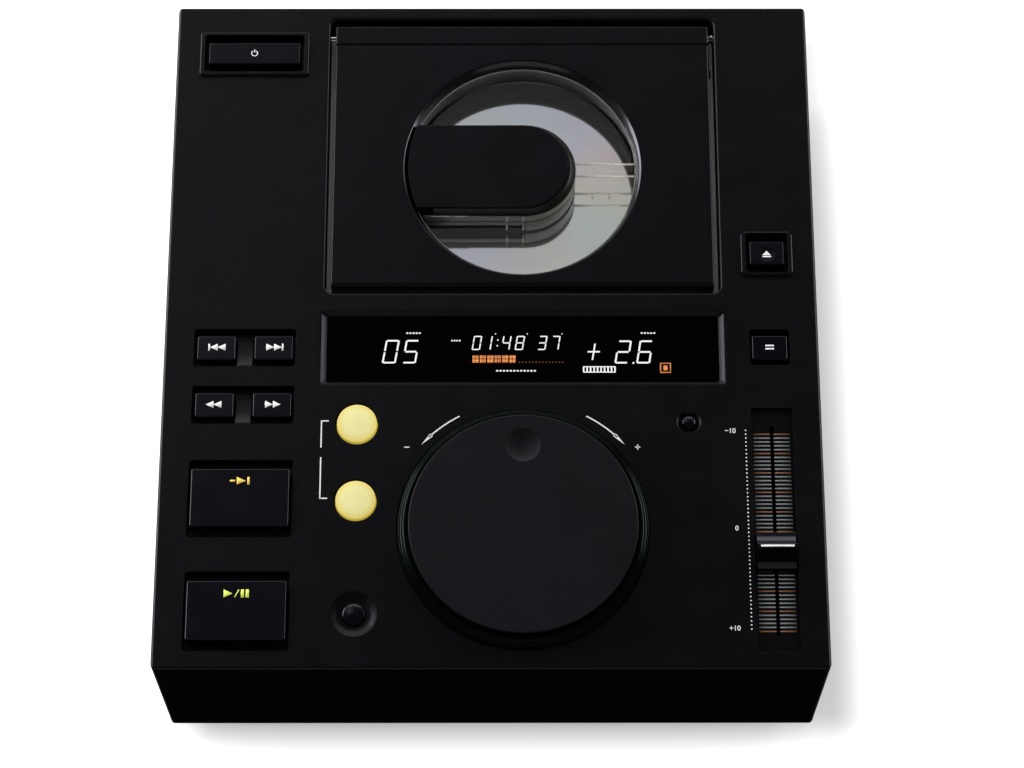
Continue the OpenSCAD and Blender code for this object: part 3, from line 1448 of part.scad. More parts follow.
top_case();
bottom_chassis();
rear_panel();
feet();
foot_screws();
tapping_screws();
lid_panel();
lid_window();
clamper_cover();
hinge_bar();
hinge_pins();
lid_spring();
clamper();
latch_slider();
disc_well();
mech_chassis();
mech_dampers();
mech_screws();
spindle_motor();
turntable();
disc();
pickup();
pickup_lens();
guide_rods();
sled_rack();
sled_gear();
sled_motor();
sled_pinion();
display_window();
display_tube();
display_board();
jog_dial();
jog_shaft();
jog_bush();
jog_base();
jog_encoder();
fader_plate();
fader_cap();
fader_lever();
fader_body();
power_button();
eject_button();
master_tempo_button();
track_back_button();
track_next_button();
search_back_button();
search_forward_button();
cue_button();
play_button();
loop_in_button();
loop_out_button();
reloop_button();
time_mode_button();
key_boards();
key_switches();
mains_switch();
main_board();
power_transformer();
ac_inlet();
audio_sockets();
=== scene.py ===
"""Looks of the tabletop disc player: finishes, softened mouldings, printed marks, display, studio."""

import json
from math import cos, pi, radians, sin

import bmesh
import bpy
from mathutils import Matrix, Vector

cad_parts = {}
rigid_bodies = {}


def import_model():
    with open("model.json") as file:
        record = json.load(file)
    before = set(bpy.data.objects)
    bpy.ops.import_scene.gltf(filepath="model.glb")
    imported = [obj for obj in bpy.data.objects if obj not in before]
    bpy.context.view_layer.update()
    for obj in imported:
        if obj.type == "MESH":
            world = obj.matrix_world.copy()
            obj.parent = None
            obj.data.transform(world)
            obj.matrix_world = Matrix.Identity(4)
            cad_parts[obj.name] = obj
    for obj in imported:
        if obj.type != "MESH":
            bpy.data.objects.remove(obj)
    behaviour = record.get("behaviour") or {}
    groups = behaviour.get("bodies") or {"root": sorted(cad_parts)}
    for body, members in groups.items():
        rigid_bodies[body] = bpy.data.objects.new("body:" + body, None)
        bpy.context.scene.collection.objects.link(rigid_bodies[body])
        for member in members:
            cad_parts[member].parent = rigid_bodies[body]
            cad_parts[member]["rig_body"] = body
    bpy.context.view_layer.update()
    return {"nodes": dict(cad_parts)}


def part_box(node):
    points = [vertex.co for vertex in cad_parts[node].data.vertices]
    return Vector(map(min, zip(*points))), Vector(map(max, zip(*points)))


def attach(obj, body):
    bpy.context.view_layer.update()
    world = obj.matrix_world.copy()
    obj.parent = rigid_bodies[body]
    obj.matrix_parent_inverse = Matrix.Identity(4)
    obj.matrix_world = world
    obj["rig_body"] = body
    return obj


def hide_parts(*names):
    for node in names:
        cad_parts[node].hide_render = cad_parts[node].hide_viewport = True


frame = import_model()
nodes = frame["nodes"]
MM = 0.001


def middle(node):
    """Middle of a node's box."""
    low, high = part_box(node)
    return (low + high) / 2


PANEL = 105.0 * MM
DECK = middle("lid_window")
DIAL = middle("jog_dial")
DIAL_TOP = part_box("jog_dial")[1].z
CAP = middle("fader_cap")
GLASS = middle("display_window")
GLASS_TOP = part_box("display_window")[1].z
# walls of the drive bay
BAY_FRONT, BAY_REAR, BAY_HALF, BAY_LOW = 10.0 * MM, 173.0 * MM, 99.5 * MM, 85.0 * MM
EDGE_ANGLE = 28.0    # a mould edge sharper than this is rounded
PRINT = 0.00004      # thickness of printed ink
SUNK = 0.00001       # how far a printed mark is let into what carries it
MARK = PRINT + SUNK  # whole thickness of a printed mark
LETTER = 0.00005     # thickness of printed numbers
LEAN = 0.16          # slant of the display's digits


# ---------- finishes ----------


class Finish:
    """A procedural finish: one shader fed by patterns on object coordinates."""

    def __init__(self, name, **sockets):
        self.material = bpy.data.materials.new(name)
        self.material.use_nodes = True
        self.tree = self.material.node_tree
        self.shader = self.tree.nodes["Principled BSDF"]
        self.where = self.tree.nodes.new("ShaderNodeTexCoord").outputs["Object"]
        for socket, value in sockets.items():
            self.shader.inputs[socket.replace("_", " ")].default_value = value

    def node(self, kind, inputs=None, **settings):
        made = self.tree.nodes.new(kind)
        for key, value in settings.items():
            setattr(made, key, value)
        for key, value in (inputs or {}).items():
            if isinstance(value, bpy.types.NodeSocket):
                self.tree.links.new(value, made.inputs[key])
            else:
                made.inputs[key].default_value = value
        return made

    def placed(self, at=(0, 0, 0), size=(1, 1, 1)):
        """Object coordinates counted from a point and stretched."""
        return self.node("ShaderNodeMapping", {"Vector": self.where, "Location": at, "Scale": size},
                         vector_type="TEXTURE").outputs["Vector"]

    def cloud(self, scale, detail=2.0, rough=0.5, where=None):
        return self.node("ShaderNodeTexNoise", {"Vector": where or self.where, "Scale": scale,
                                                "Detail": detail, "Roughness": rough}).outputs["Fac"]

    def ramp(self, value, stops, blend="LINEAR"):
        """Colours along a value: stops are (position, colour)."""
        made = self.node("ShaderNodeValToRGB", {"Fac": value})
        made.color_ramp.interpolation = blend
        marks = made.color_ramp.elements
        while len(marks) < len(stops):
            marks.new(0.5)
        for mark, (place, colour) in zip(marks, stops):
            mark.position = place
        for mark, (place, colour) in zip(marks, stops):
            mark.color = (*colour, 1.0) if hasattr(colour, "__len__") else (colour, colour, colour, 1.0)
        return made.outputs["Color"]

    def span(self, value, low, high):
        return self.node("ShaderNodeMapRange",
                         {"Value": value, "To Min": low, "To Max": high}).outputs["Result"]

    def feed(self, socket, value):
        self.tree.links.new(value, self.shader.inputs[socket])

    def relief(self, *layers):
        """Bumps laid over one another: (height, strength, distance in metres)."""
        normal = None
        for height, strength, distance in layers:
            inputs = {"Height": height, "Strength": strength, "Distance": distance}
            if normal:
                inputs["Normal"] = normal
            normal = self.node("ShaderNodeBump", inputs).outputs["Normal"]
        self.feed("Normal", normal)


def moulding(name, dark, light, rough, gloss, grain=1500.0, depth=0.25, sheen=(0.88, 0.89, 1.0, 1.0)):
    """Moulded plastic: faint clouding, spark-eroded grain and handling marks in the gloss."""
    f = Finish(name, Specular_IOR_Level=gloss, Specular_Tint=sheen)
    f.feed("Base Color", f.ramp(f.cloud(14.0, 4.0, 0.6), [(0.3, dark), (0.7, light)]))
    f.feed("Roughness", f.span(f.cloud(55.0, 3.0), rough - 0.05, rough + 0.05))
    f.relief((f.cloud(grain, 1.0), depth, 0.00003), (f.cloud(grain / 6, 2.0), depth * 0.3, 0.00004))
    return f.material


def sheet_metal(name, dark, light, rough, stretch=(40.0, 1.0, 40.0), scale=60.0):
    """Rolled or brushed metal: fine streaks along one way."""
    f = Finish(name, Metallic=1.0)
    streaks = f.cloud(scale, 3.0, 0.7, f.placed(size=[1.0 / s for s in stretch]))
    f.feed("Base Color", f.ramp(streaks, [(0.25, dark), (0.75, light)]))
    f.feed("Roughness", f.span(streaks, rough - 0.06, rough + 0.08))
    f.relief((streaks, 0.15, 0.00002))
    return f.material


def black(value, blue=1.15):
    """A near-black with a touch of blue."""
    return (value, value, value * blue)


case_finish = moulding("fine_grained_case", black(0.0008, 2.2), black(0.0013, 2.2), 0.38, 0.27)
lid_finish = moulding("fine_grained_lid", black(0.0008, 2.4), black(0.0013, 2.4), 0.38, 0.245)
key_finish = moulding("smooth_keys", black(0.0014, 2.2), black(0.0020, 2.2), 0.21, 0.40, grain=2600.0,
                      depth=0.12)
dial_finish = moulding("fine_grained_dial", black(0.0034, 1.5), black(0.0046, 1.5), 0.42, 0.28, grain=1300.0)
ring_finish = moulding("grip_ring", black(0.0006), black(0.0010), 0.24, 0.24, grain=2600.0, depth=0.1,
                       sheen=(0.66, 0.96, 0.94, 1.0))
# Painted shade: a duller, browner copy of the lid's plastic for the window opening's wall and the clamper
# cover's sides.
painted_shade_wall_finish = moulding("painted_shade_window_wall", (0.0014, 0.0012, 0.0011), (0.0020, 0.0017, 0.0015), 0.45, 0.12)
collar_finish = moulding("clamper_collar", (0.0060, 0.0044, 0.0034), (0.0075, 0.0056, 0.0044), 0.34, 0.35)
# Painted shade: a dull, darker-looking copy of the black plastic for the drive bay's walls, the case's front
# face and the fader cap's front slopes.
painted_shade_finish = moulding("bay_wall", black(0.0008), black(0.0012), 0.6, 0.03)
# Painted light: a paler copy of the black plastic for the case's side and rear walls, lighter than its top.
painted_light_side_finish = moulding("painted_light_sides", black(0.0050, 1.3), black(0.0066, 1.3), 0.42, 0.3)
# Painted highlight: a lighter copy of the black plastic for the case's front top edge and the fader cap's
# front lip.
painted_highlight_finish = moulding("painted_edge_highlight", black(0.010), black(0.013), 0.34, 0.4)
# Painted shade: a duller copy of the key finish for the power and eject keys, standing in for the shade of
# the rims round them.
painted_shade_key_finish = moulding("recessed_keys_painted_shade", black(0.0016, 2.0), black(0.0022, 2.0), 0.34, 0.24, grain=2600.0,
                         depth=0.12)
rim_finish = moulding("window_rim", black(0.0024), black(0.0032), 0.22, 0.58, grain=2600.0, depth=0.1)
table_finish = moulding("pale_turntable", (0.30, 0.30, 0.28), (0.36, 0.36, 0.335), 0.35, 0.4, grain=1100.0)
clamper_finish = moulding("grey_clamper", (0.16, 0.16, 0.15), (0.20, 0.20, 0.185), 0.35, 0.4, grain=1100.0)
cap_finish = moulding("fader_cap_black", black(0.0022), black(0.0032), 0.20, 0.55, grain=2600.0, depth=0.08)
latch_finish = moulding("natural_latch", (0.60, 0.60, 0.55), (0.68, 0.67, 0.61), 0.45, 0.5)
gear_finish = moulding("natural_gear", (0.66, 0.64, 0.55), (0.74, 0.71, 0.61), 0.38, 0.5, grain=900.0)
switch_finish = moulding("switch_black", black(0.010), black(0.014), 0.5, 0.5)
inlet_finish = moulding("inlet_black", black(0.008), black(0.011), 0.28, 0.5)
rubber_finish = moulding("foot_rubber", black(0.009, 1.0), black(0.015, 1.0), 0.75, 0.3, grain=700.0,
                         depth=0.5)
steel_finish = sheet_metal("zinc_sheet", (0.42, 0.43, 0.45), (0.58, 0.59, 0.60), 0.38)
motor_finish = sheet_metal("drawn_can", (0.48, 0.49, 0.51), (0.62, 0.63, 0.65), 0.26,
                           stretch=(1.0, 1.0, 30.0))
rod_finish = sheet_metal("ground_rod", (0.62, 0.62, 0.63), (0.78, 0.78, 0.79), 0.14,
                         stretch=(30.0, 1.0, 30.0))
screw_finish = sheet_metal("plated_screw", (0.45, 0.45, 0.46), (0.60, 0.60, 0.61), 0.28, scale=300.0)
pickup_finish = sheet_metal("die_casting", (0.10, 0.10, 0.11), (0.18, 0.18, 0.20), 0.45, scale=500.0)
socket_finish = sheet_metal("plated_socket", (0.60, 0.60, 0.62), (0.76, 0.76, 0.78), 0.2, scale=400.0)
iron_finish = sheet_metal("laminated_core", (0.10, 0.08, 0.055), (0.22, 0.18, 0.13), 0.5,
                          stretch=(1.0, 1.0, 60.0), scale=25.0)
brass_finish = sheet_metal("turned_brass", (0.62, 0.44, 0.18), (0.76, 0.57, 0.26), 0.24,
                           stretch=(1.0, 1.0, 30.0))


def painted_sheet(name, dark, light, gloss=0.2):
    f = Finish(name, Specular_IOR_Level=gloss)
    f.feed("Base Color", f.ramp(f.cloud(30.0, 4.0, 0.6), [(0.3, dark), (0.7, light)]))
    f.feed("Roughness", f.span(f.cloud(90.0), 0.40, 0.52))
    f.relief((f.cloud(700.0, 2.0), 0.3, 0.00004))
    return f.material


def well_with_painted_light():
    """Grey well with painted shade and light: darker under the disc's edge (painted shade), paler at its wall
    and toward both sides (painted light).
    """
    f = Finish("grey_well_painted_light", Specular_IOR_Level=0.4)
    disc_way = f.placed(at=(DECK.x, DECK.y, 0), size=(0.064, 0.064, 50.0))
    ball = f.node("ShaderNodeTexGradient", {"Vector": disc_way}, gradient_type="SPHERICAL").outputs["Fac"]
    # Painted shade under the disc's edge and painted light on the wall, by distance from the disc's middle.
    grey = f.ramp(ball, [(0.0, (0.235, 0.235, 0.24)), (0.012, (0.20, 0.20, 0.205)),
                         (0.03, (0.085, 0.087, 0.098)),
                         (0.075, (0.048, 0.050, 0.058)), (0.14, (0.115, 0.118, 0.125)),
                         (0.6, (0.16, 0.16, 0.165))])
    # Painted light: paler toward both sides.
    across = f.node("ShaderNodeSeparateXYZ", {"Vector": f.placed(at=(DECK.x - 0.064, 0, 0),
                                                                 size=(0.128, 1, 1))})
    pale = f.ramp(across.outputs["X"], [(0.0, (0.46, 0.47, 0.48)), (0.32, (0.08, 0.08, 0.08)),
                                        (0.5, (0.0, 0.0, 0.0)), (0.72, (0.04, 0.04, 0.04)),
                                        (0.93, (0.50, 0.49, 0.48))], "EASE")
    f.feed("Base Color", f.node("ShaderNodeMix", {6: grey, 7: pale, 0: 1.0}, data_type="RGBA",
                                blend_type="ADD").outputs[2])
    f.feed("Roughness", f.span(f.cloud(55.0, 3.0), 0.38, 0.48))
    f.relief((f.cloud(900.0, 1.0), 0.08, 0.00003))
    return f.material


def underside_painted_light():
    """Underside of the clamper's cover, paler toward its round end: painted light that the disc below
    mirrors.
    """
    f = Finish("cover_underside_painted_light", Specular_IOR_Level=0.3, Roughness=0.45)
    along = f.node("ShaderNodeSeparateXYZ", {"Vector": f.placed(at=(-0.035, 0, 0),
                                                                size=(0.07, 1, 1))}).outputs["X"]
    # Painted light: dark grey at one end, paler grey toward the round end.
    f.feed("Base Color", f.ramp(along, [(0.0, (0.03, 0.03, 0.035)), (0.5, (0.07, 0.072, 0.07)),
                                        (1.0, (0.17, 0.165, 0.15))]))
    f.relief((f.cloud(300.0, 2.0), 0.2, 0.00004))
    return f.material


well_painted_light_finish = well_with_painted_light()
painted_light_underside_finish = underside_painted_light()
paint_finish = painted_sheet("black_paint", black(0.010), black(0.014))
channel_finish = painted_sheet("channel_black", black(0.0012, 1.5), black(0.0018, 1.5), 0.12)


def circuit_board():
    f = Finish("circuit_board", Specular_IOR_Level=0.5, Roughness=0.35)
    tracks = f.node("ShaderNodeTexVoronoi", {"Vector": f.where, "Scale": 260.0}, feature="DISTANCE_TO_EDGE",
                    distance="CHEBYCHEV").outputs["Distance"]
    f.feed("Base Color", f.ramp(tracks, [(0.04, (0.055, 0.16, 0.075)), (0.09, (0.025, 0.085, 0.040))]))
    f.relief((tracks, 0.3, 0.00003))
    return f.material


board_finish = circuit_board()


def mirror_disc_painted_sheen():
    """Pressed disc: a silver mirror with faint pastel sectors, a painted sheen, and the finest of rings."""
    f = Finish("mirror_disc_painted_sheen", Metallic=1.0)
    at = f.placed(at=(DECK.x, DECK.y, 0))
    turn = f.node("ShaderNodeTexGradient", {"Vector": at}, gradient_type="RADIAL").outputs["Fac"]
    # Painted sheen: pastel sectors round the disc's middle stand in for its rainbow reflections.
    tint = f.ramp(turn, [(0.0, (0.70, 0.70, 0.76)), (0.14, (0.70, 0.71, 0.80)), (0.30, (0.76, 0.76, 0.72)),
                         (0.42, (0.70, 0.76, 0.72)), (0.50, (0.78, 0.75, 0.68)), (0.56, (0.79, 0.70, 0.72)),
                         (0.62, (0.72, 0.72, 0.80)), (0.76, (0.70, 0.74, 0.80)), (0.90, (0.72, 0.74, 0.76)),
                         (1.0, (0.70, 0.70, 0.76))], "EASE")
    f.feed("Base Color", tint)
    rings = f.node("ShaderNodeTexWave", {"Vector": at, "Scale": 700.0, "Distortion": 0.0}, wave_type="RINGS",
                   rings_direction="Z").outputs["Fac"]
    f.feed("Roughness", f.span(rings, 0.05, 0.09))
    return f.material


def clear_plastic(name, tint, rough, shade=0.9, clear=1.0):
    """Clear moulded plastic that lets light and shadows through."""
    f = Finish(name, Transmission_Weight=clear, IOR=1.46, Roughness=rough)
    f.feed("Base Color", f.ramp(f.cloud(60.0), [(0.3, tint), (0.7, [min(1.0, c + 0.02) for c in tint])]))
    path = f.node("ShaderNodeLightPath")
    through = f.node("ShaderNodeBsdfTransparent", {"Color": (shade, shade, shade, 1.0)})
    mix = f.node("ShaderNodeMixShader", {0: path.outputs["Is Shadow Ray"]})
    f.tree.links.new(f.shader.outputs["BSDF"], mix.inputs[1])
    f.tree.links.new(through.outputs["BSDF"], mix.inputs[2])
    f.tree.links.new(mix.outputs["Shader"], f.tree.nodes["Material Output"].inputs["Surface"])
    return f.material


disc_finish = mirror_disc_painted_sheen()
hub_finish = clear_plastic("clear_hub", (0.86, 0.87, 0.88), 0.10)
pane_finish = clear_plastic("clear_pane", (0.95, 0.955, 0.96), 0.015, 0.95)
rib_finish = clear_plastic("pane_ribs", (0.95, 0.92, 0.84), 0.10, 0.8, 0.75)
skirt_finish = clear_plastic("clamper_skirt", (0.17, 0.155, 0.13), 0.22, 0.7, 0.62)
edge_finish = clear_plastic("pane_edge", (0.34, 0.32, 0.28), 0.12, 0.8, 0.6)
tube_finish = clear_plastic("display_tube_glass", (0.30, 0.42, 0.42), 0.05, 0.5)
lens_finish = clear_plastic("coated_lens", (0.45, 0.55, 0.90), 0.02, 0.8)


def smoked_window():
    f = Finish("smoked_window", Specular_IOR_Level=0.05)
    f.feed("Base Color", f.ramp(f.cloud(20.0), [(0.3, black(0.0004)), (0.7, black(0.0007))]))
    f.feed("Roughness", f.span(f.cloud(45.0, 3.0), 0.07, 0.12))
    return f.material


window_finish = smoked_window()


def lit(name, inner, outer, power, at=None, reach=0.01, base=(0.02, 0.02, 0.02)):
    """Lit from below: brightest inside, deeper in colour toward the rim."""
    f = Finish(name, Roughness=0.4, Emission_Strength=power)
    if at is None:
        glow = f.ramp(f.cloud(420.0, 1.0), [(0.35, outer), (0.65, inner)])
    else:
        ball = f.node("ShaderNodeTexGradient", {"Vector": f.placed(at=at, size=(reach, reach, reach))},
                      gradient_type="SPHERICAL").outputs["Fac"]
        glow = f.ramp(ball, [(0.2, outer), (0.55, inner)], "EASE")
    f.feed("Emission Color", glow)
    f.feed("Base Color", f.ramp(f.cloud(200.0), [(0.3, base), (0.7, [b * 1.1 for b in base])]))
    return f.material


def ink(name, colour):
    """Screen-printed ink, a little uneven in its cover."""
    f = Finish(name, Roughness=0.5, Specular_IOR_Level=0.4)
    thin = [c * 0.86 for c in colour]
    f.feed("Base Color", f.ramp(f.cloud(900.0, 2.0), [(0.25, thin), (0.6, colour)]))
    return f.material


white_ink = ink("white_print", (0.80, 0.80, 0.81))
amber_ink = ink("amber_print", (0.90, 0.62, 0.10))
lime_ink = ink("lime_print", (0.72, 0.86, 0.12))
scale_ink = ink("scale_grey", (0.162, 0.175, 0.178))
scale_orange = ink("scale_orange", (0.165, 0.066, 0.022))
glow_white = lit("glow_white", (1.0, 0.98, 0.98), (0.92, 0.90, 0.92), 1.0)
glow_orange = lit("glow_orange", (0.84, 0.27, 0.035), (0.56, 0.13, 0.015), 1.0)
glow_ember = lit("glow_ember", (0.34, 0.08, 0.016), (0.24, 0.05, 0.01), 1.0)


# ---------- shaping ----------


def piece(name, bm, finish, body, crease=35.0):
    """Makes a finished piece of a bmesh and lets it move with its body."""
    for edge in bm.edges:
        if edge.calc_face_angle(0) > radians(crease):
            edge.smooth = False
    mesh = bpy.data.meshes.new(name)
    bm.to_mesh(mesh)
    bm.free()
    mesh.polygons.foreach_set("use_smooth", [True] * len(mesh.polygons))
    made = bpy.data.objects.new(name, mesh)
    bpy.context.scene.collection.objects.link(made)
    mesh.materials.append(finish)
    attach(made, body)
    return made


def body_of(node):
    return nodes[node]["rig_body"]


def softened(node, finish, width, lowest=-1.0, spare=0.0):
    """The node's own moulding with its outer edges broken by a fine rounding."""
    bm = bmesh.new()
    bm.from_mesh(nodes[node].data)
    bmesh.ops.remove_doubles(bm, verts=bm.verts, dist=2e-6)
    bmesh.ops.dissolve_limit(bm, angle_limit=radians(0.5), verts=bm.verts, edges=bm.edges)
    for edge in bm.edges:
        edge.smooth = True
    edges = [e for e in bm.edges if e.is_manifold and e.is_convex
             and e.calc_face_angle(0) > radians(EDGE_ANGLE)
             and min(v.co.z for v in e.verts) > lowest]
    rounded = set(bmesh.ops.bevel(bm, geom=edges, offset=width, offset_type="OFFSET", affect="EDGES",
                                  segments=2, profile=0.5, material=-1, clamp_overlap=False,
                                  loop_slide=True)["faces"])
    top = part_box(node)[1].z - spare   # spare leaves room for print inside the solid's box
    for v in bm.verts:
        v.co.z = min(v.co.z, top)
    for edge in bm.edges:   # inner corners stay crisp where two roundings meet
        if edge.is_manifold and not edge.is_convex and rounded.issuperset(edge.link_faces):
            edge.smooth = edge.calc_face_angle(0) < radians(4)
    made = piece(node + "_moulding", bm, finish, body_of(node), 40.0)
    even = made.modifiers.new("even_shading", "WEIGHTED_NORMAL")
    even.keep_sharp = True
    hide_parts(node)
    return made


def lathed(profile, at, steps=192):
    """A profile of (radius, height) spun about an upright axis."""
    bm = bmesh.new()
    ring = [bm.verts.new((at[0] + r, at[1], z)) for r, z in profile]
    for a, b in zip(ring, ring[1:]):
        bm.edges.new((a, b))
    bmesh.ops.spin(bm, geom=bm.verts[:] + bm.edges[:], cent=(at[0], at[1], 0), axis=(0, 0, 1), angle=2 * pi,
                   steps=steps, use_merge=True, use_duplicate=False)
    bmesh.ops.remove_doubles(bm, verts=bm.verts, dist=2e-6)
    bmesh.ops.recalc_face_normals(bm, faces=bm.faces)
    return bm


def bar(bm, at, size, turn=0.0, lean=0.0):
    """A thin plate: middle of its foot, (width, depth, thickness), turned, and leant like italic type."""
    made = bmesh.ops.create_cube(bm, size=1.0)["verts"]
    w, d, t = size
    bmesh.ops.transform(bm, verts=made, matrix=Matrix.Diagonal((w, d, t, 1.0)))
    slope = Matrix.Identity(4)
    slope[0][1] = lean
    bmesh.ops.transform(bm, verts=made, matrix=slope)
    bmesh.ops.rotate(bm, verts=made, cent=(0, 0, 0), matrix=Matrix.Rotation(turn, 3, "Z"))
    bmesh.ops.translate(bm, verts=made, vec=(at[0], at[1], at[2] + t / 2))


def wedge(bm, at, size, turn=0.0):
    """A thin triangle that points along +X before it is turned: (length, height, thickness)."""
    made = bmesh.ops.create_cone(bm, cap_ends=True, segments=3, radius1=1.0, radius2=1.0, depth=1.0)["verts"]
    tip = max(made, key=lambda v: v.co.x)
    if abs(tip.co.y) > 0.01:
        bmesh.ops.rotate(bm, verts=made, cent=(0, 0, 0), matrix=Matrix.Rotation(-pi / 2, 3, "Z"))
    low, high = min(v.co.x for v in made), max(v.co.x for v in made)
    side = max(v.co.y for v in made) * 2
    bmesh.ops.translate(bm, verts=made, vec=(-(low + high) / 2, 0, 0))
    bmesh.ops.transform(bm, verts=made, matrix=Matrix.Diagonal((size[0] / (high - low), size[1] / side,
                                                                size[2], 1.0)))
    bmesh.ops.rotate(bm, verts=made, cent=(0, 0, 0), matrix=Matrix.Rotation(turn, 3, "Z"))
    bmesh.ops.translate(bm, verts=made, vec=(at[0], at[1], at[2] + size[2] / 2))


def spot(bm, at, radius, thick, steps=24):
    made = bmesh.ops.create_cone(bm, cap_ends=True, segments=steps, radius1=radius, radius2=radius,
                                 depth=thick)["verts"]
    bmesh.ops.translate(bm, verts=made, vec=(at[0], at[1], at[2] + thick / 2))


def arc(bm, centre, radius, width, start, end, z, thick):
    """A printed arc of even width."""
    face = [bm.verts.new((radius + s * width / 2, 0, h))
            for s, h in ((-1, 0), (1, 0), (1, thick), (-1, thick))]
    first = bm.faces.new(face)
    bmesh.ops.rotate(bm, verts=face, cent=(0, 0, 0), matrix=Matrix.Rotation(start, 3, "Z"))
    before = set(bm.verts)
    bmesh.ops.spin(bm, geom=[first], cent=(0, 0, 0), axis=(0, 0, 1), angle=end - start, steps=24)
    made = face + [v for v in bm.verts if v not in before]
    bmesh.ops.translate(bm, verts=made, vec=(centre[0], centre[1], z))


def faced(made, finish, pick):
    """Gives the faces that pick chooses their own finish."""
    made.data.materials.append(finish)
    for face in made.data.polygons:
        if pick(face):
            face.material_index = len(made.data.materials) - 1


def stacked(name, outlines, at, finish, body):
    """A closed frame through rounded rectangles, each (width, depth, corner radius, height)."""
    bm = bmesh.new()
    rings = []
    for w, d, r, z in outlines:
        plate = bmesh.ops.create_grid(bm, x_segments=1, y_segments=1, size=0.5)["verts"]
        bmesh.ops.transform(bm, verts=plate, matrix=Matrix.Diagonal((w * MM, d * MM, 1.0, 1.0)))
        bmesh.ops.translate(bm, verts=plate, vec=(at[0], at[1], z * MM))
        bmesh.ops.bevel(bm, geom=plate, offset=r * MM, offset_type="OFFSET", affect="VERTICES", segments=8,
                        profile=0.5, material=-1)
        bm.faces.ensure_lookup_table()
        rings.append(bm.faces[0].edges[:])
        bmesh.ops.delete(bm, geom=bm.faces[:], context="FACES_ONLY")
    for one, two in zip(rings, rings[1:] + rings[:1]):
        for a, b in zip(one, two):
            bmesh.ops.contextual_create(bm, geom=[a, b])
    bmesh.ops.recalc_face_normals(bm, faces=bm.faces)
    made = piece(name, bm, finish, body, 50.0)
    even = made.modifiers.new("even_shading", "WEIGHTED_NORMAL")
    even.keep_sharp = True
    return made


def round_end(bm, centre, profile, run):
    """A (reach, height) section swept round the tongue's end and straight on to the left for a run."""
    face = [bm.verts.new((0, -r * MM, z * MM)) for r, z in profile]
    first = bm.faces.new(face)
    before = set(bm.verts) - set(face)
    last = bmesh.ops.spin(bm, geom=[first], cent=(0, 0, 0), axis=(0, 0, 1), angle=pi, steps=64)["geom_last"]
    ends = [first] + [f for f in last if isinstance(f, bmesh.types.BMFace)]
    if run:
        for end in ends:
            grown = bmesh.ops.extrude_face_region(bm, geom=[end])["geom"]
            bmesh.ops.translate(bm, verts=[v for v in grown if isinstance(v, bmesh.types.BMVert)],
                                vec=(-run * MM, 0, 0))
            bmesh.ops.delete(bm, geom=[end], context="FACES_ONLY")
    made = [v for v in bm.verts if v not in before]
    bmesh.ops.translate(bm, verts=made, vec=(centre[0], centre[1], 0))
    bmesh.ops.recalc_face_normals(bm, faces=bm.faces)


def lettering(name, words, at, height, finish, body):
    """Plain numbers as thin raised print."""
    curve = bpy.data.curves.new(name, "FONT")
    curve.body = words
    curve.size = height / 0.72
    curve.align_x, curve.align_y = "CENTER", "CENTER"
    curve.extrude = LETTER / 2
    curve.offset = height * 0.012
    holder = bpy.data.objects.new(name + "_curve", curve)
    bpy.context.scene.collection.objects.link(holder)
    bpy.context.view_layer.update()
    mesh = bpy.data.meshes.new_from_object(holder)
    bpy.data.objects.remove(holder)
    bm = bmesh.new()
    bm.from_mesh(mesh)
    bpy.data.meshes.remove(mesh)
    bmesh.ops.remove_doubles(bm, verts=bm.verts, dist=1e-6)
    bmesh.ops.translate(bm, verts=bm.verts, vec=(at[0], at[1], at[2] + LETTER / 2))
    return piece(name, bm, finish, body)


# ---------- camera ----------


def place_camera():
    tilt, swing, roll = radians(68.375), radians(-0.254), radians(0.206)
    back = Vector((sin(swing) * cos(tilt), -cos(swing) * cos(tilt), sin(tilt)))
    right = Vector((cos(swing), sin(swing), 0.0))
    up = back.cross(right)
    across = right * cos(roll) + up * sin(roll)
    upward = up * cos(roll) - right * sin(roll)
    lens = bpy.data.cameras.new("camera")
    lens.lens = 107.03
    lens.sensor_width = 36.0
    lens.clip_end = 50.0
    made = bpy.data.objects.new("camera", lens)
    place = Matrix((across, upward, back)).transposed().to_4x4()
    place.translation = Vector((7.602, -577.297, 1481.188)) * MM
    made.matrix_world = place
    bpy.context.scene.collection.objects.link(made)
    bpy.context.scene.camera = made


place_camera()


# ---------- case, lid and keys ----------

case = softened("top_case", case_finish, 0.25 * MM, lowest=0.098)
# Painted shade on the drive bay's upright walls.
faced(case, painted_shade_finish, lambda f: abs(f.normal.z) < 0.3 and BAY_FRONT < f.center.y < BAY_REAR
      and abs(f.center.x - DECK.x) < BAY_HALF and f.center.z > BAY_LOW)
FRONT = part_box("top_case")[0].y
# Painted light on the case's side and rear walls.
faced(case, painted_light_side_finish, lambda f: abs(f.normal.z) < 0.3 and (abs(f.center.x) > 0.159 or f.center.y > 0.170))
# Painted highlight on the case's front top edge.
faced(case, painted_highlight_finish, lambda f: f.center.y < FRONT + 0.5 * MM and f.normal.y < -0.2 and f.normal.z > 0.2)
# Painted shade on the case's front face.
faced(case, painted_shade_finish, lambda f: f.center.y < FRONT + 0.5 * MM and f.normal.y < -0.9)
lid = softened("lid_panel", lid_finish, 0.25 * MM, lowest=0.093)
# Painted shade on the wall of the lid's window opening.
faced(lid, painted_shade_wall_finish, lambda f: abs(f.normal.z) < 0.9
      and 0.0580 < (Vector(f.center) - DECK).xy.length < 0.0600)
softened("hinge_bar", lid_finish, 0.2 * MM, lowest=0.099)
cover = softened("clamper_cover", lid_finish, 0.35 * MM, lowest=0.1)
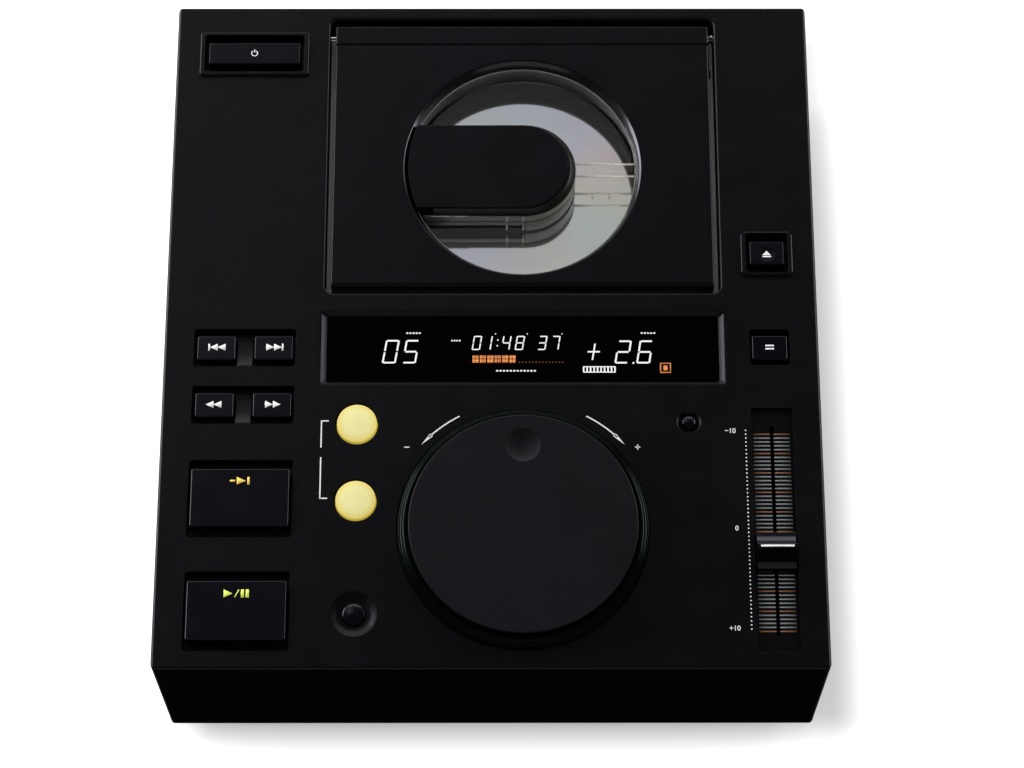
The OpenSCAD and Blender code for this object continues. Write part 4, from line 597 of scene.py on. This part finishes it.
# Painted shade on the clamper cover's sides.
faced(cover, painted_shade_wall_finish, lambda f: abs(f.normal.z) < 0.3)
faced(cover, painted_light_underside_finish, lambda f: f.normal.z < -0.9)
for key in ("power_button", "eject_button", "master_tempo_button", "track_back_button", "track_next_button",
            "search_back_button", "search_forward_button", "cue_button", "play_button", "reloop_button",
            "time_mode_button"):
    # The power and eject keys take the painted-shade copy of the key finish.
    softened(key, painted_shade_key_finish if key in ("power_button", "eject_button") else key_finish, 0.12 * MM,
             lowest=0.1)
cap = softened("fader_cap", cap_finish, 0.3 * MM, spare=0.03 * MM)
# Painted highlight on the cap's flat front lip.
faced(cap, painted_highlight_finish, lambda f: f.normal.z > 0.92 and f.center.y < CAP.y - 2 * MM)
# Painted shade on the cap's front-facing slopes.
faced(cap, painted_shade_finish, lambda f: f.normal.y < -0.39 and abs(f.normal.x) < 0.5)

carried = {
    "bottom_chassis": steel_finish, "rear_panel": paint_finish, "feet": rubber_finish,
    "foot_screws": screw_finish, "tapping_screws": screw_finish, "hinge_pins": rod_finish,
    "lid_spring": rod_finish, "clamper": clamper_finish, "latch_slider": latch_finish,
    "disc_well": well_painted_light_finish,
    "mech_chassis": paint_finish, "mech_dampers": rubber_finish, "mech_screws": screw_finish,
    "spindle_motor": motor_finish, "turntable": table_finish, "pickup": pickup_finish,
    "pickup_lens": lens_finish, "guide_rods": rod_finish, "sled_rack": gear_finish, "sled_gear": gear_finish,
    "sled_motor": motor_finish, "sled_pinion": brass_finish, "display_tube": tube_finish,
    "display_board": board_finish, "jog_shaft": rod_finish, "jog_bush": gear_finish, "jog_base": steel_finish,
    "jog_encoder": paint_finish, "fader_plate": channel_finish, "fader_lever": steel_finish,
    "fader_body": channel_finish, "key_boards": board_finish, "key_switches": switch_finish,
    "mains_switch": switch_finish, "main_board": board_finish, "power_transformer": iron_finish,
    "ac_inlet": inlet_finish, "audio_sockets": socket_finish, "display_window": window_finish,
    "lid_window": pane_finish,
}
for node, finish in carried.items():
    for place in nodes[node].material_slots:
        place.material = finish


# ---------- frames of the display and of the lid's opening ----------

stacked("display_frame", [(200.4, 41.4, 3.4, 104.9), (200.4, 41.4, 3.4, 105.02), (198.6, 39.9, 2.6, 105.02),
                          (197.9, 39.0, 2.4, 104.93), (197.2, 38.2, 2.2, 104.77), (196.5, 37.6, 2.1, 104.54),
                          (191.9, 35.0, 1.2, 103.21), (191.9, 35.0, 1.2, 102.9), (198.4, 39.4, 2.8, 102.9)],
        GLASS, case_finish, "case")
bar_low, bar_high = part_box("hinge_bar")
front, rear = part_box("lid_panel")[0].y - 3.9 * MM, bar_high.y + 4.35 * MM
OPENING = Vector(((bar_low.x + bar_high.x) / 2, (front + rear) / 2, 0))
wide, deep = (bar_high.x - bar_low.x) / MM + 6.2, (rear - front) / MM
stacked("opening_frame", [(wide + 3.4, deep + 3.6, 6.1, 104.9), (wide + 3.4, deep + 3.6, 6.1, 105.02),
                          (wide + 1.7, deep + 2.3, 5.4, 105.02), (wide + 1.1, deep + 1.5, 5.1, 104.94),
                          (wide + 0.6, deep + 0.8, 4.85, 104.79), (wide + 0.2, deep + 0.25, 4.65, 104.53),
                          (wide - 0.02, deep - 0.02, 4.5, 104.2), (wide - 0.02, deep - 0.02, 4.5, 103.4)],
        OPENING, case_finish, "case")


# ---------- clear parts at the window ----------


def window_trim():
    """Rim of the clear pane, collar and skirt round the clamper, and the fine ribs beside it."""
    cone = [(59.47, 104.75), (59.3, 104.7), (56.95, 99.75), (56.85, 99.55), (56.85, 99.3), (57.3, 97.0),
            (59.47, 97.0), (59.47, 104.75)]
    piece("window_bezel", lathed([(r * MM, z * MM) for r, z in cone], DECK, 256), rim_finish, "lid",
          60.0)
    edge = [(56.5, 99.0), (56.95, 99.0), (56.95, 99.35), (56.85, 99.5), (56.65, 99.5), (56.5, 99.4),
            (56.5, 99.0)]
    piece("pane_edge", lathed([(r * MM, z * MM) for r, z in edge], DECK, 256), edge_finish, "lid")
    end = (DECK.x + 1.6 * MM, DECK.y)
    bm = bmesh.new()
    round_end(bm, end, [(21.5, 99.2), (25.0, 99.2), (25.05, 99.6), (24.9, 99.9), (22.9, 103.3), (22.6, 103.5),
                        (21.5, 103.5)], 46.0)
    piece("clamper_collar", bm, collar_finish, "lid")
    bm = bmesh.new()
    round_end(bm, end, [(24.7, 94.0), (25.3, 94.0), (25.3, 99.45), (24.7, 99.45)], 51.0)
    piece("clamper_skirt", bm, skirt_finish, "lid")
    bm = bmesh.new()
    round_end(bm, end, [(24.7, 82.0), (25.3, 82.0), (25.3, 91.98), (24.7, 91.98)], 0)
    for side in (-1, 1):
        bar(bm, (end[0] - 25.0 * MM, end[1] + side * 25.0 * MM, 88.0 * MM), (50.0 * MM, 0.6 * MM, 3.98 * MM))
    piece("clamper_skirt_below", bm, skirt_finish, "lid")
    bm = bmesh.new()
    for y in (90.0, 83.3):
        reach = (56.4 ** 2 - (y - DECK.y / MM) ** 2) ** 0.5
        x0, x1 = 41.0, DECK.x / MM + reach
        bar(bm, ((x0 + x1) / 2 * MM, y * MM, 97.2 * MM), ((x1 - x0) * MM, 0.7 * MM, 1.0 * MM))
    for x in (51.4, 60.2):
        bar(bm, (x * MM, 88.9 * MM, 97.2 * MM), (0.9 * MM, 2.9 * MM, 0.8 * MM))
    for x in (15.8, 7.6):
        bar(bm, (x * MM, end[1] - 25.5 * MM, 83.0 * MM), (0.9 * MM, 0.4 * MM, 8.9 * MM))
        bar(bm, (x * MM, end[1] - 25.5 * MM, 94.0 * MM), (0.9 * MM, 0.4 * MM, 5.2 * MM))
    for x0, x1 in ((-30.95, -19.93), (-18.93, -11.91)):
        bar(bm, ((x0 + x1) / 2 * MM, end[1] - 25.25 * MM, 99.3 * MM), ((x1 - x0) * MM, 0.5 * MM, 0.4 * MM))
    piece("pane_ribs", bm, rib_finish, "lid")


window_trim()


# ---------- round lit keys ----------

for node in ("loop_out_button", "loop_in_button"):
    spot_at = middle(node)
    glow = lit(node + "_glow", (0.47, 0.45, 0.21), (0.45, 0.34, 0.04), 1.0,
               (spot_at.x, spot_at.y, 0.1066), 0.0125, (0.32, 0.29, 0.12))
    for place in nodes[node].material_slots:
        place.material = glow


# ---------- jog dial ----------


def dial_top():
    r = 54.7
    profile = [(0, 114.0), (r - 0.6, 114.0), (r - 0.35, 113.95), (r - 0.15, 113.83), (r - 0.04, 113.65),
               (r, 113.4), (r, 112.8), (r - 0.15, 112.6), (r - 1.0, 112.4), (r - 1.0, 110.2), (8.0, 110.2),
               (8.0, 99.4), (3.0, 99.4), (3.0, 111.6), (0, 111.6)]
    return lathed([(a * MM, b * MM) for a, b in profile], DIAL)


def grip_ring():
    """Three fine steps below the dial's top, each with a small rounded edge."""
    ring = 59.7
    profile = [(52.3, 105.8), (52.3, 107.6), (ring - 3.85, 107.6), (ring - 3.75, 109.95)]
    for step in (2, 1, 0):
        out, z = ring - step * 1.25, 105.8 + 1.5 * step
        profile += [(out - 0.9, z + 1.2), (out - 0.22, z + 1.2), (out - 0.10, z + 1.17),
                    (out - 0.03, z + 1.1),
                    (out, z + 0.98), (out, z + (0.0 if step == 0 else 0.1))]
    profile += [(52.3, 105.8)]
    return lathed([(a * MM, b * MM) for a, b in profile], DIAL)


piece("jog_grip_ring", grip_ring(), ring_finish, "jog", 40.0)
dial = piece("jog_dial_turned", dial_top(), dial_finish, "jog", 25.0)
ball_bm = bmesh.new()
depth, half = 1.6 * MM, 8.8 * MM
ball_r = (half * half + depth * depth) / (2 * depth)
bmesh.ops.create_uvsphere(ball_bm, u_segments=160, v_segments=120, radius=ball_r)
bmesh.ops.translate(ball_bm, verts=ball_bm.verts, vec=(DIAL.x, DIAL.y + 39.3 * MM, DIAL_TOP + ball_r - depth))
ball_mesh = bpy.data.meshes.new("dimple_cutter")
ball_bm.to_mesh(ball_mesh)
ball_bm.free()
cutter = bpy.data.objects.new("dimple_cutter", ball_mesh)
bpy.context.scene.collection.objects.link(cutter)
dent = dial.modifiers.new("finger_dimple", "BOOLEAN")
dent.object = cutter
dent.operation = "DIFFERENCE"
dent.solver = "EXACT"
bpy.context.view_layer.update()
shaped = bpy.data.meshes.new_from_object(dial.evaluated_get(bpy.context.evaluated_depsgraph_get()))
dial.modifiers.clear()
dial.data = shaped
bpy.data.objects.remove(cutter)
shaped.polygons.foreach_set("use_smooth", [True] * len(shaped.polygons))
shaped.set_sharp_from_angle(angle=radians(25.0))
even = dial.modifiers.new("even_shading", "WEIGHTED_NORMAL")
even.keep_sharp = True
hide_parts("jog_dial")


# ---------- disc ----------


def pressed_disc():
    low, high = (v.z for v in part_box("disc"))
    edge = 0.12 * MM
    bm = lathed([(23 * MM, low), (59.9 * MM, low), (60 * MM, low + edge), (60 * MM, high - edge),
                 (59.9 * MM, high), (23 * MM, high), (23 * MM, low)], DECK, 256)
    made = piece("pressed_disc", bm, disc_finish, "spindle")
    hub = lathed([(7.5 * MM, low), (22.9 * MM, low), (22.9 * MM, high), (17.2 * MM, high),
                  (17.0 * MM, high - edge),
                  (16.8 * MM, high), (7.5 * MM, high), (7.5 * MM, low)], DECK, 128)
    piece("disc_hub", hub, hub_finish, "spindle")
    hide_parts("disc")


pressed_disc()


# ---------- printed marks on the panel ----------


def panel_print():
    bm = bmesh.new()
    z = PANEL - SUNK
    # dotted line beside the tempo scale
    for i in range(51):
        spot(bm, (122.9 * MM, (-55.9 - 2.002 * i) * MM, z), 0.36 * MM, MARK, 12)
    # bracket that joins the two round keys
    x = -82.15
    for y0, y1 in ((-50.6, -64.6), (-69.6, -90.9)):
        bar(bm, (x * MM, (y0 + y1) / 2 * MM, z), (0.6 * MM, abs(y1 - y0) * MM, MARK))
    for y in (-50.9, -90.6):
        bar(bm, ((x + 1.75) * MM, y * MM, z), (3.5 * MM, 0.6 * MM, MARK))
    # minus and plus signs
    bar(bm, (-40.75 * MM, -64.45 * MM, z), (2.6 * MM, 0.5 * MM, MARK))
    bar(bm, (70.6 * MM, -64.5 * MM, z), (2.6 * MM, 0.5 * MM, MARK))
    bar(bm, (70.6 * MM, -64.5 * MM, z), (0.5 * MM, 2.6 * MM, MARK))
    # arrows around the dial
    centre = (DIAL.x, DIAL.y)
    for side in (-1, 1):
        a0 = pi / 2 - side * radians(28.2)
        a1 = pi / 2 - side * radians(44.5)
        arc(bm, centre, 65.0 * MM, 0.65 * MM, a0, a1, z, MARK)
        a = pi / 2 - side * radians(45.9)
        head = (centre[0] + 64.9 * MM * cos(a), centre[1] + 64.9 * MM * sin(a), z)
        wedge(bm, head, (7.0 * MM, 1.9 * MM, MARK), a - side * pi / 2)
    return piece("panel_print", bm, white_ink, "case")


panel_print()
for label, words, x, y in (("scale_minus_ten", "−10", 115.4, -56.2), ("scale_zero", "0", 117.35, -105.9),
                           ("scale_plus_ten", "+10", 115.0, -155.7)):
    lettering(label, words, (x * MM, y * MM, PANEL - SUNK), 2.5 * MM, white_ink, "case")


def tempo_scale():
    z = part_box("fader_plate")[1].z - SUNK
    for label, finish, every in (("tempo_scale_grey", scale_ink, False),
                                 ("tempo_scale_orange", scale_orange, True)):
        bm = bmesh.new()
        for i in range(51):
            if (i % 5 == 0) == every:
                y = (-57.3 - 1.988 * i) * MM
                bar(bm, (130.65 * MM, y, z), (8.1 * MM, 0.72 * MM, PRINT))
                bar(bm, (140.4 * MM, y, z), (7.8 * MM, 0.72 * MM, PRINT))
        piece(label, bm, finish, "case")


tempo_scale()


# ---------- symbols on the keys ----------


def key_top(node):
    low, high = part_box(node)
    return (low.x + high.x) / 2, (low.y + high.y) / 2, high.z


def symbol(name, node, finish, marks, dish=None):
    """Marks on a key.

    Each is ("bar", x, y, w, d), ("wedge", x, y, length, height, turn) or ("arc", x, y, r, w, from, to).
    """
    cx, cy, z = key_top(node)
    bm = bmesh.new()
    for kind, x, y, *rest in marks:
        at = (cx + x * MM, cy + y * MM, z - SUNK)
        if kind == "bar":
            bar(bm, at, (rest[0] * MM, rest[1] * MM, MARK), radians(rest[2] if len(rest) > 2 else 0))
        elif kind == "wedge":
            wedge(bm, at, (rest[0] * MM, rest[1] * MM, MARK), radians(rest[2]))
        elif kind == "arc":
            arc(bm, at, rest[0] * MM, rest[1] * MM, radians(rest[2]), radians(rest[3]), at[2], MARK)
    if dish:   # middle, depth and ball radius of the hollow that the marks lie in
        off, deep, ball = (v * MM for v in dish)
        bmesh.ops.subdivide_edges(bm, edges=bm.edges, cuts=2, use_grid_fill=True)
        for v in bm.verts:
            away = (v.co.x - cx) ** 2 + (v.co.y - cy - off) ** 2
            v.co.z -= max(0.0, deep - away / (2 * ball))
    return piece(name, bm, finish, body_of(node))


def doubled(way, shift, y):
    """Two wedges one behind the other."""
    return [("wedge", shift - 1.9, y, 3.8, 3.7, way), ("wedge", shift + 1.9, y, 3.8, 3.7, way)]


symbol("skip_back_symbol", "track_back_button", white_ink,
       doubled(180, 0.7, 0.3) + [("bar", -3.5, 0.3, 0.8, 3.7)])
symbol("skip_next_symbol", "track_next_button", white_ink,
       doubled(0, 0.2, 0.3) + [("bar", 4.4, 0.3, 0.8, 3.7)])
symbol("search_back_symbol", "search_back_button", white_ink, doubled(180, -0.3, 0.2))
symbol("search_forward_symbol", "search_forward_button", white_ink, doubled(0, 0.4, 0.2))
symbol("play_symbol", "play_button", lime_ink,
       [("wedge", -3.9, 8.2, 4.2, 4.0, 0), ("bar", 0.2, 8.2, 0.5, 4.2, -28),
        ("bar", 2.9, 8.2, 1.5, 4.0), ("bar", 5.2, 8.2, 1.5, 4.0)])
symbol("cue_symbol", "cue_button", amber_ink,
       [("wedge", 0.6, 8.4, 4.4, 3.9, 0), ("bar", 4.0, 8.4, 1.1, 3.9), ("bar", -3.6, 8.4, 2.4, 1.0)])
symbol("tempo_symbol", "master_tempo_button", white_ink,
       [("bar", 0, 1.0, 4.2, 0.8), ("bar", 0, -0.7, 4.2, 0.8)])
symbol("power_symbol", "power_button", white_ink,
       [("arc", 0, 0, 1.5, 0.45, 125, 415), ("bar", 0, 1.3, 0.45, 1.7)])
symbol("eject_symbol", "eject_button", white_ink,
       [("wedge", 0, 0.2, 2.4, 4.2, 90), ("bar", 0, -1.75, 4.2, 0.7)], dish=(-0.6, 0.6, 17.2))


# ---------- display ----------

SEGMENTS = {"0": "abcdef", "1": "bc", "2": "abged", "3": "abgcd", "4": "fgbc", "5": "afgcd", "6": "afgcde",
            "7": "abc", "8": "abcdefg"}


def digit(bm, value, x, y, w, h, pen, z):
    """A seven-segment digit about its middle, leant to the right."""
    gap = pen * 0.35
    half_h = h / 2
    places = {
        "a": (0, half_h - pen / 2, w - pen - 2 * gap, pen),
        "d": (0, -half_h + pen / 2, w - pen - 2 * gap, pen),
        "g": (0, 0, w - pen - 2 * gap, pen),
        "b": (w / 2 - pen / 2, h / 4, pen, half_h - pen / 2 - 1.2 * gap),
        "c": (w / 2 - pen / 2, -h / 4, pen, half_h - pen / 2 - 1.2 * gap),
        "f": (-w / 2 + pen / 2, h / 4, pen, half_h - pen / 2 - 1.2 * gap),
        "e": (-w / 2 + pen / 2, -h / 4, pen, half_h - pen / 2 - 1.2 * gap),
    }
    for name in SEGMENTS[value]:
        sx, sy, sw, sd = places[name]
        bar(bm, ((x + sx + LEAN * sy) * MM, (y + sy) * MM, z), (sw * MM, sd * MM, MARK), 0.0, LEAN)


def display_picture():
    z = GLASS_TOP - SUNK
    bm = bmesh.new()
    for value, x in (("0", -49.2), ("5", -39.4)):
        digit(bm, value, x, -14.0, 6.8, 12.4, 0.85, z)
    for value, x in (("0", -7.1), ("1", -1.9), ("4", 7.3), ("8", 13.9), ("3", 24.9), ("7", 31.3)):
        digit(bm, value, x, -9.4, 4.1, 7.5, 0.60, z)
    for value, x in (("2", 64.4), ("6", 75.0)):
        digit(bm, value, x, -14.2, 6.8, 12.2, 0.85, z)
    for x, y, r in ((3.15, -7.9, 0.38), (2.85, -10.9, 0.38), (69.3, -20.0, 0.5), (2.0, -4.6, 0.3),
                    (17.5, -4.6, 0.3),
                    (34.6, -4.6, 0.3)):
        spot(bm, (x * MM, y * MM, z), r * MM, MARK, 16)
    bar(bm, (50.0 * MM, -14.1 * MM, z), (6.0 * MM, 0.75 * MM, MARK))
    bar(bm, (50.0 * MM, -14.1 * MM, z), (0.75 * MM, 8.6 * MM, MARK), 0.0, LEAN)
    # rows of plain dashes where the small legends stand
    for x, y, w, count in ((-38.2, -4.2, 7.6, 5), (-17.4, -8.2, 5.0, 4), (76.7, -4.2, 7.6, 5),
                           (12.0, -24.1, 20.0, 12)):
        pitch = w / count
        for i in range(count):
            bar(bm, ((x - w / 2 + pitch * (i + 0.5)) * MM, y * MM, z), (pitch * 0.62 * MM, 0.75 * MM, MARK))
    for y, d in ((-22.0, 0.5), (-24.8, 0.5)):
        bar(bm, (52.65 * MM, y * MM, z), (15.8 * MM, d * MM, MARK))
    for i in range(10):
        bar(bm, ((44.98 + 1.7 * i) * MM, -23.4 * MM, z), (0.75 * MM, 2.4 * MM, MARK))
    piece("display_white", bm, glow_white, "case")
    bm = bmesh.new()
    for i in range(6):
        for j in (0, 1):
            for k in (0, 1):
                bar(bm, ((-8.6 + 3.62 * i + 1.6 * j) * MM, (-16.9 - 2.0 * k) * MM, z),
                    (1.35 * MM, 1.75 * MM, MARK))
    cx, cy = 84.95, -22.6
    for x, y, w, d in ((cx, cy + 2.4, 5.2, 0.5), (cx, cy - 2.4, 5.2, 0.5), (cx - 2.4, cy, 0.5, 5.2),
                       (cx + 2.4, cy, 0.5, 5.2), (cx, cy, 2.0, 2.6)):
        bar(bm, (x * MM, y * MM, z), (w * MM, d * MM, MARK))
    piece("display_orange", bm, glow_orange, "case")
    bm = bmesh.new()
    for i in range(14):
        spot(bm, ((13.6 + 1.64 * i) * MM, -19.6 * MM, z), 0.28 * MM, MARK, 12)
    piece("display_dots", bm, glow_ember, "case")


display_picture()


# ---------- fader cap line ----------

bm = bmesh.new()
bar(bm, (CAP.x, CAP.y + 0.2 * MM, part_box("fader_cap")[1].z - PRINT), (15.8 * MM, 0.95 * MM, PRINT))
piece("cap_line", bm, white_ink, "fader")


# ---------- studio ----------


def seen_as(tree, plain, glossy, through=1.0):
    """1 for the camera, through behind clear plastic, glossy in gloss, plain for all other light."""
    path = tree.nodes.new("ShaderNodeLightPath")
    level = None
    for ray, strength in (("Is Glossy Ray", glossy), ("Is Transmission Ray", through),
                          ("Is Camera Ray", 1.0)):
        step = tree.nodes.new("ShaderNodeMix")
        tree.links.new(path.outputs[ray], step.inputs["Factor"])
        step.inputs["B"].default_value = strength
        if level:
            tree.links.new(level, step.inputs["A"])
        else:
            step.inputs["A"].default_value = plain
        level = step.outputs["Result"]
    return level


def studio():
    world = bpy.data.worlds.new("studio")
    bpy.context.scene.world = world
    world.use_nodes = True
    tree = world.node_tree
    ground = tree.nodes["Background"]
    ground.inputs["Color"].default_value = (1, 1, 1, 1)
    tree.links.new(seen_as(tree, 0.60, 0.03, 0.56), ground.inputs["Strength"])

    bm = bmesh.new()
    bmesh.ops.create_grid(bm, x_segments=1, y_segments=1, size=9.0)
    bmesh.ops.translate(bm, verts=bm.verts, vec=(0, 0, -0.0001))
    mesh = bpy.data.meshes.new("floor")
    bm.to_mesh(mesh)
    bm.free()
    floor = bpy.data.objects.new("floor", mesh)
    bpy.context.scene.collection.objects.link(floor)
    f = Finish("pale_floor_painted_shadow", Roughness=0.9, Specular_IOR_Level=0.0)
    f.feed("Base Color", f.ramp(f.cloud(3.0), [(0.3, (0.60, 0.60, 0.60)), (0.7, (0.61, 0.61, 0.61))]))
    # painted shadow: the floor's own glow is lowest round a box a little to the right of the case and rises
    # to white away from it, so its shadow stays a narrow soft one
    beside = f.node("ShaderNodeVectorMath", {0: f.placed(at=(0.015, 0.0198, 0))}, operation="ABSOLUTE")
    beside = f.node("ShaderNodeVectorMath", {0: beside.outputs[0], 1: (0.155, 0.1863, 1.0)},
                    operation="SUBTRACT")
    beside = f.node("ShaderNodeVectorMath", {0: beside.outputs[0], 1: (0, 0, 0)}, operation="MAXIMUM")
    beside = f.node("ShaderNodeVectorMath", {0: beside.outputs[0]}, operation="LENGTH")
    glow = f.node("ShaderNodeMapRange", {"Value": beside.outputs["Value"], "From Min": 0.0, "From Max": 0.030,
                                         "To Min": 0.20, "To Max": 0.95}, interpolation_type="SMOOTHSTEP")
    shown = f.node("ShaderNodeEmission", {"Color": (1, 1, 1, 1), "Strength": glow.outputs["Result"]})
    both = f.node("ShaderNodeAddShader")
    f.tree.links.new(f.shader.outputs["BSDF"], both.inputs[0])
    f.tree.links.new(shown.outputs["Emission"], both.inputs[1])
    dull = f.node("ShaderNodeBsdfDiffuse", {"Color": (0.02, 0.02, 0.02, 1)})
    pick = f.node("ShaderNodeMixShader", {0: seen_as(f.tree, 0.0, 0.015)})
    f.tree.links.new(dull.outputs["BSDF"], pick.inputs[1])
    f.tree.links.new(both.outputs["Shader"], pick.inputs[2])
    f.tree.links.new(pick.outputs["Shader"], f.tree.nodes["Material Output"].inputs["Surface"])
    mesh.materials.append(f.material)

    def softbox(name, at, width, depth, power):
        lamp = bpy.data.lights.new(name, "AREA")
        lamp.shape = "RECTANGLE"
        lamp.size, lamp.size_y = width, depth
        lamp.energy = power
        made = bpy.data.objects.new(name, lamp)
        way = (Vector(at) - Vector((0.0, 0.0, 0.09))).normalized()
        made.matrix_world = Matrix.Translation(at) @ way.to_track_quat("Z", "Y").to_matrix().to_4x4()
        made.visible_camera = False
        bpy.context.scene.collection.objects.link(made)

    softbox("left_box", (-1.5, 0.65, 0.48), 1.2, 0.9, 31.0)
    softbox("right_box", (1.5, 0.62, 0.44), 1.1, 0.8, 19.0)
    softbox("rear_box", (0.0, 2.0, 0.85), 2.6, 1.5, 20.0)
    softbox("top_box", (-1.05, 1.45, 2.5), 1.3, 1.4, 4.0)
    softbox("front_box", (0.0, -2.3, 1.05), 3.0, 1.0, 5.0)


studio()

scene = bpy.context.scene
scene.view_settings.view_transform = "Standard"
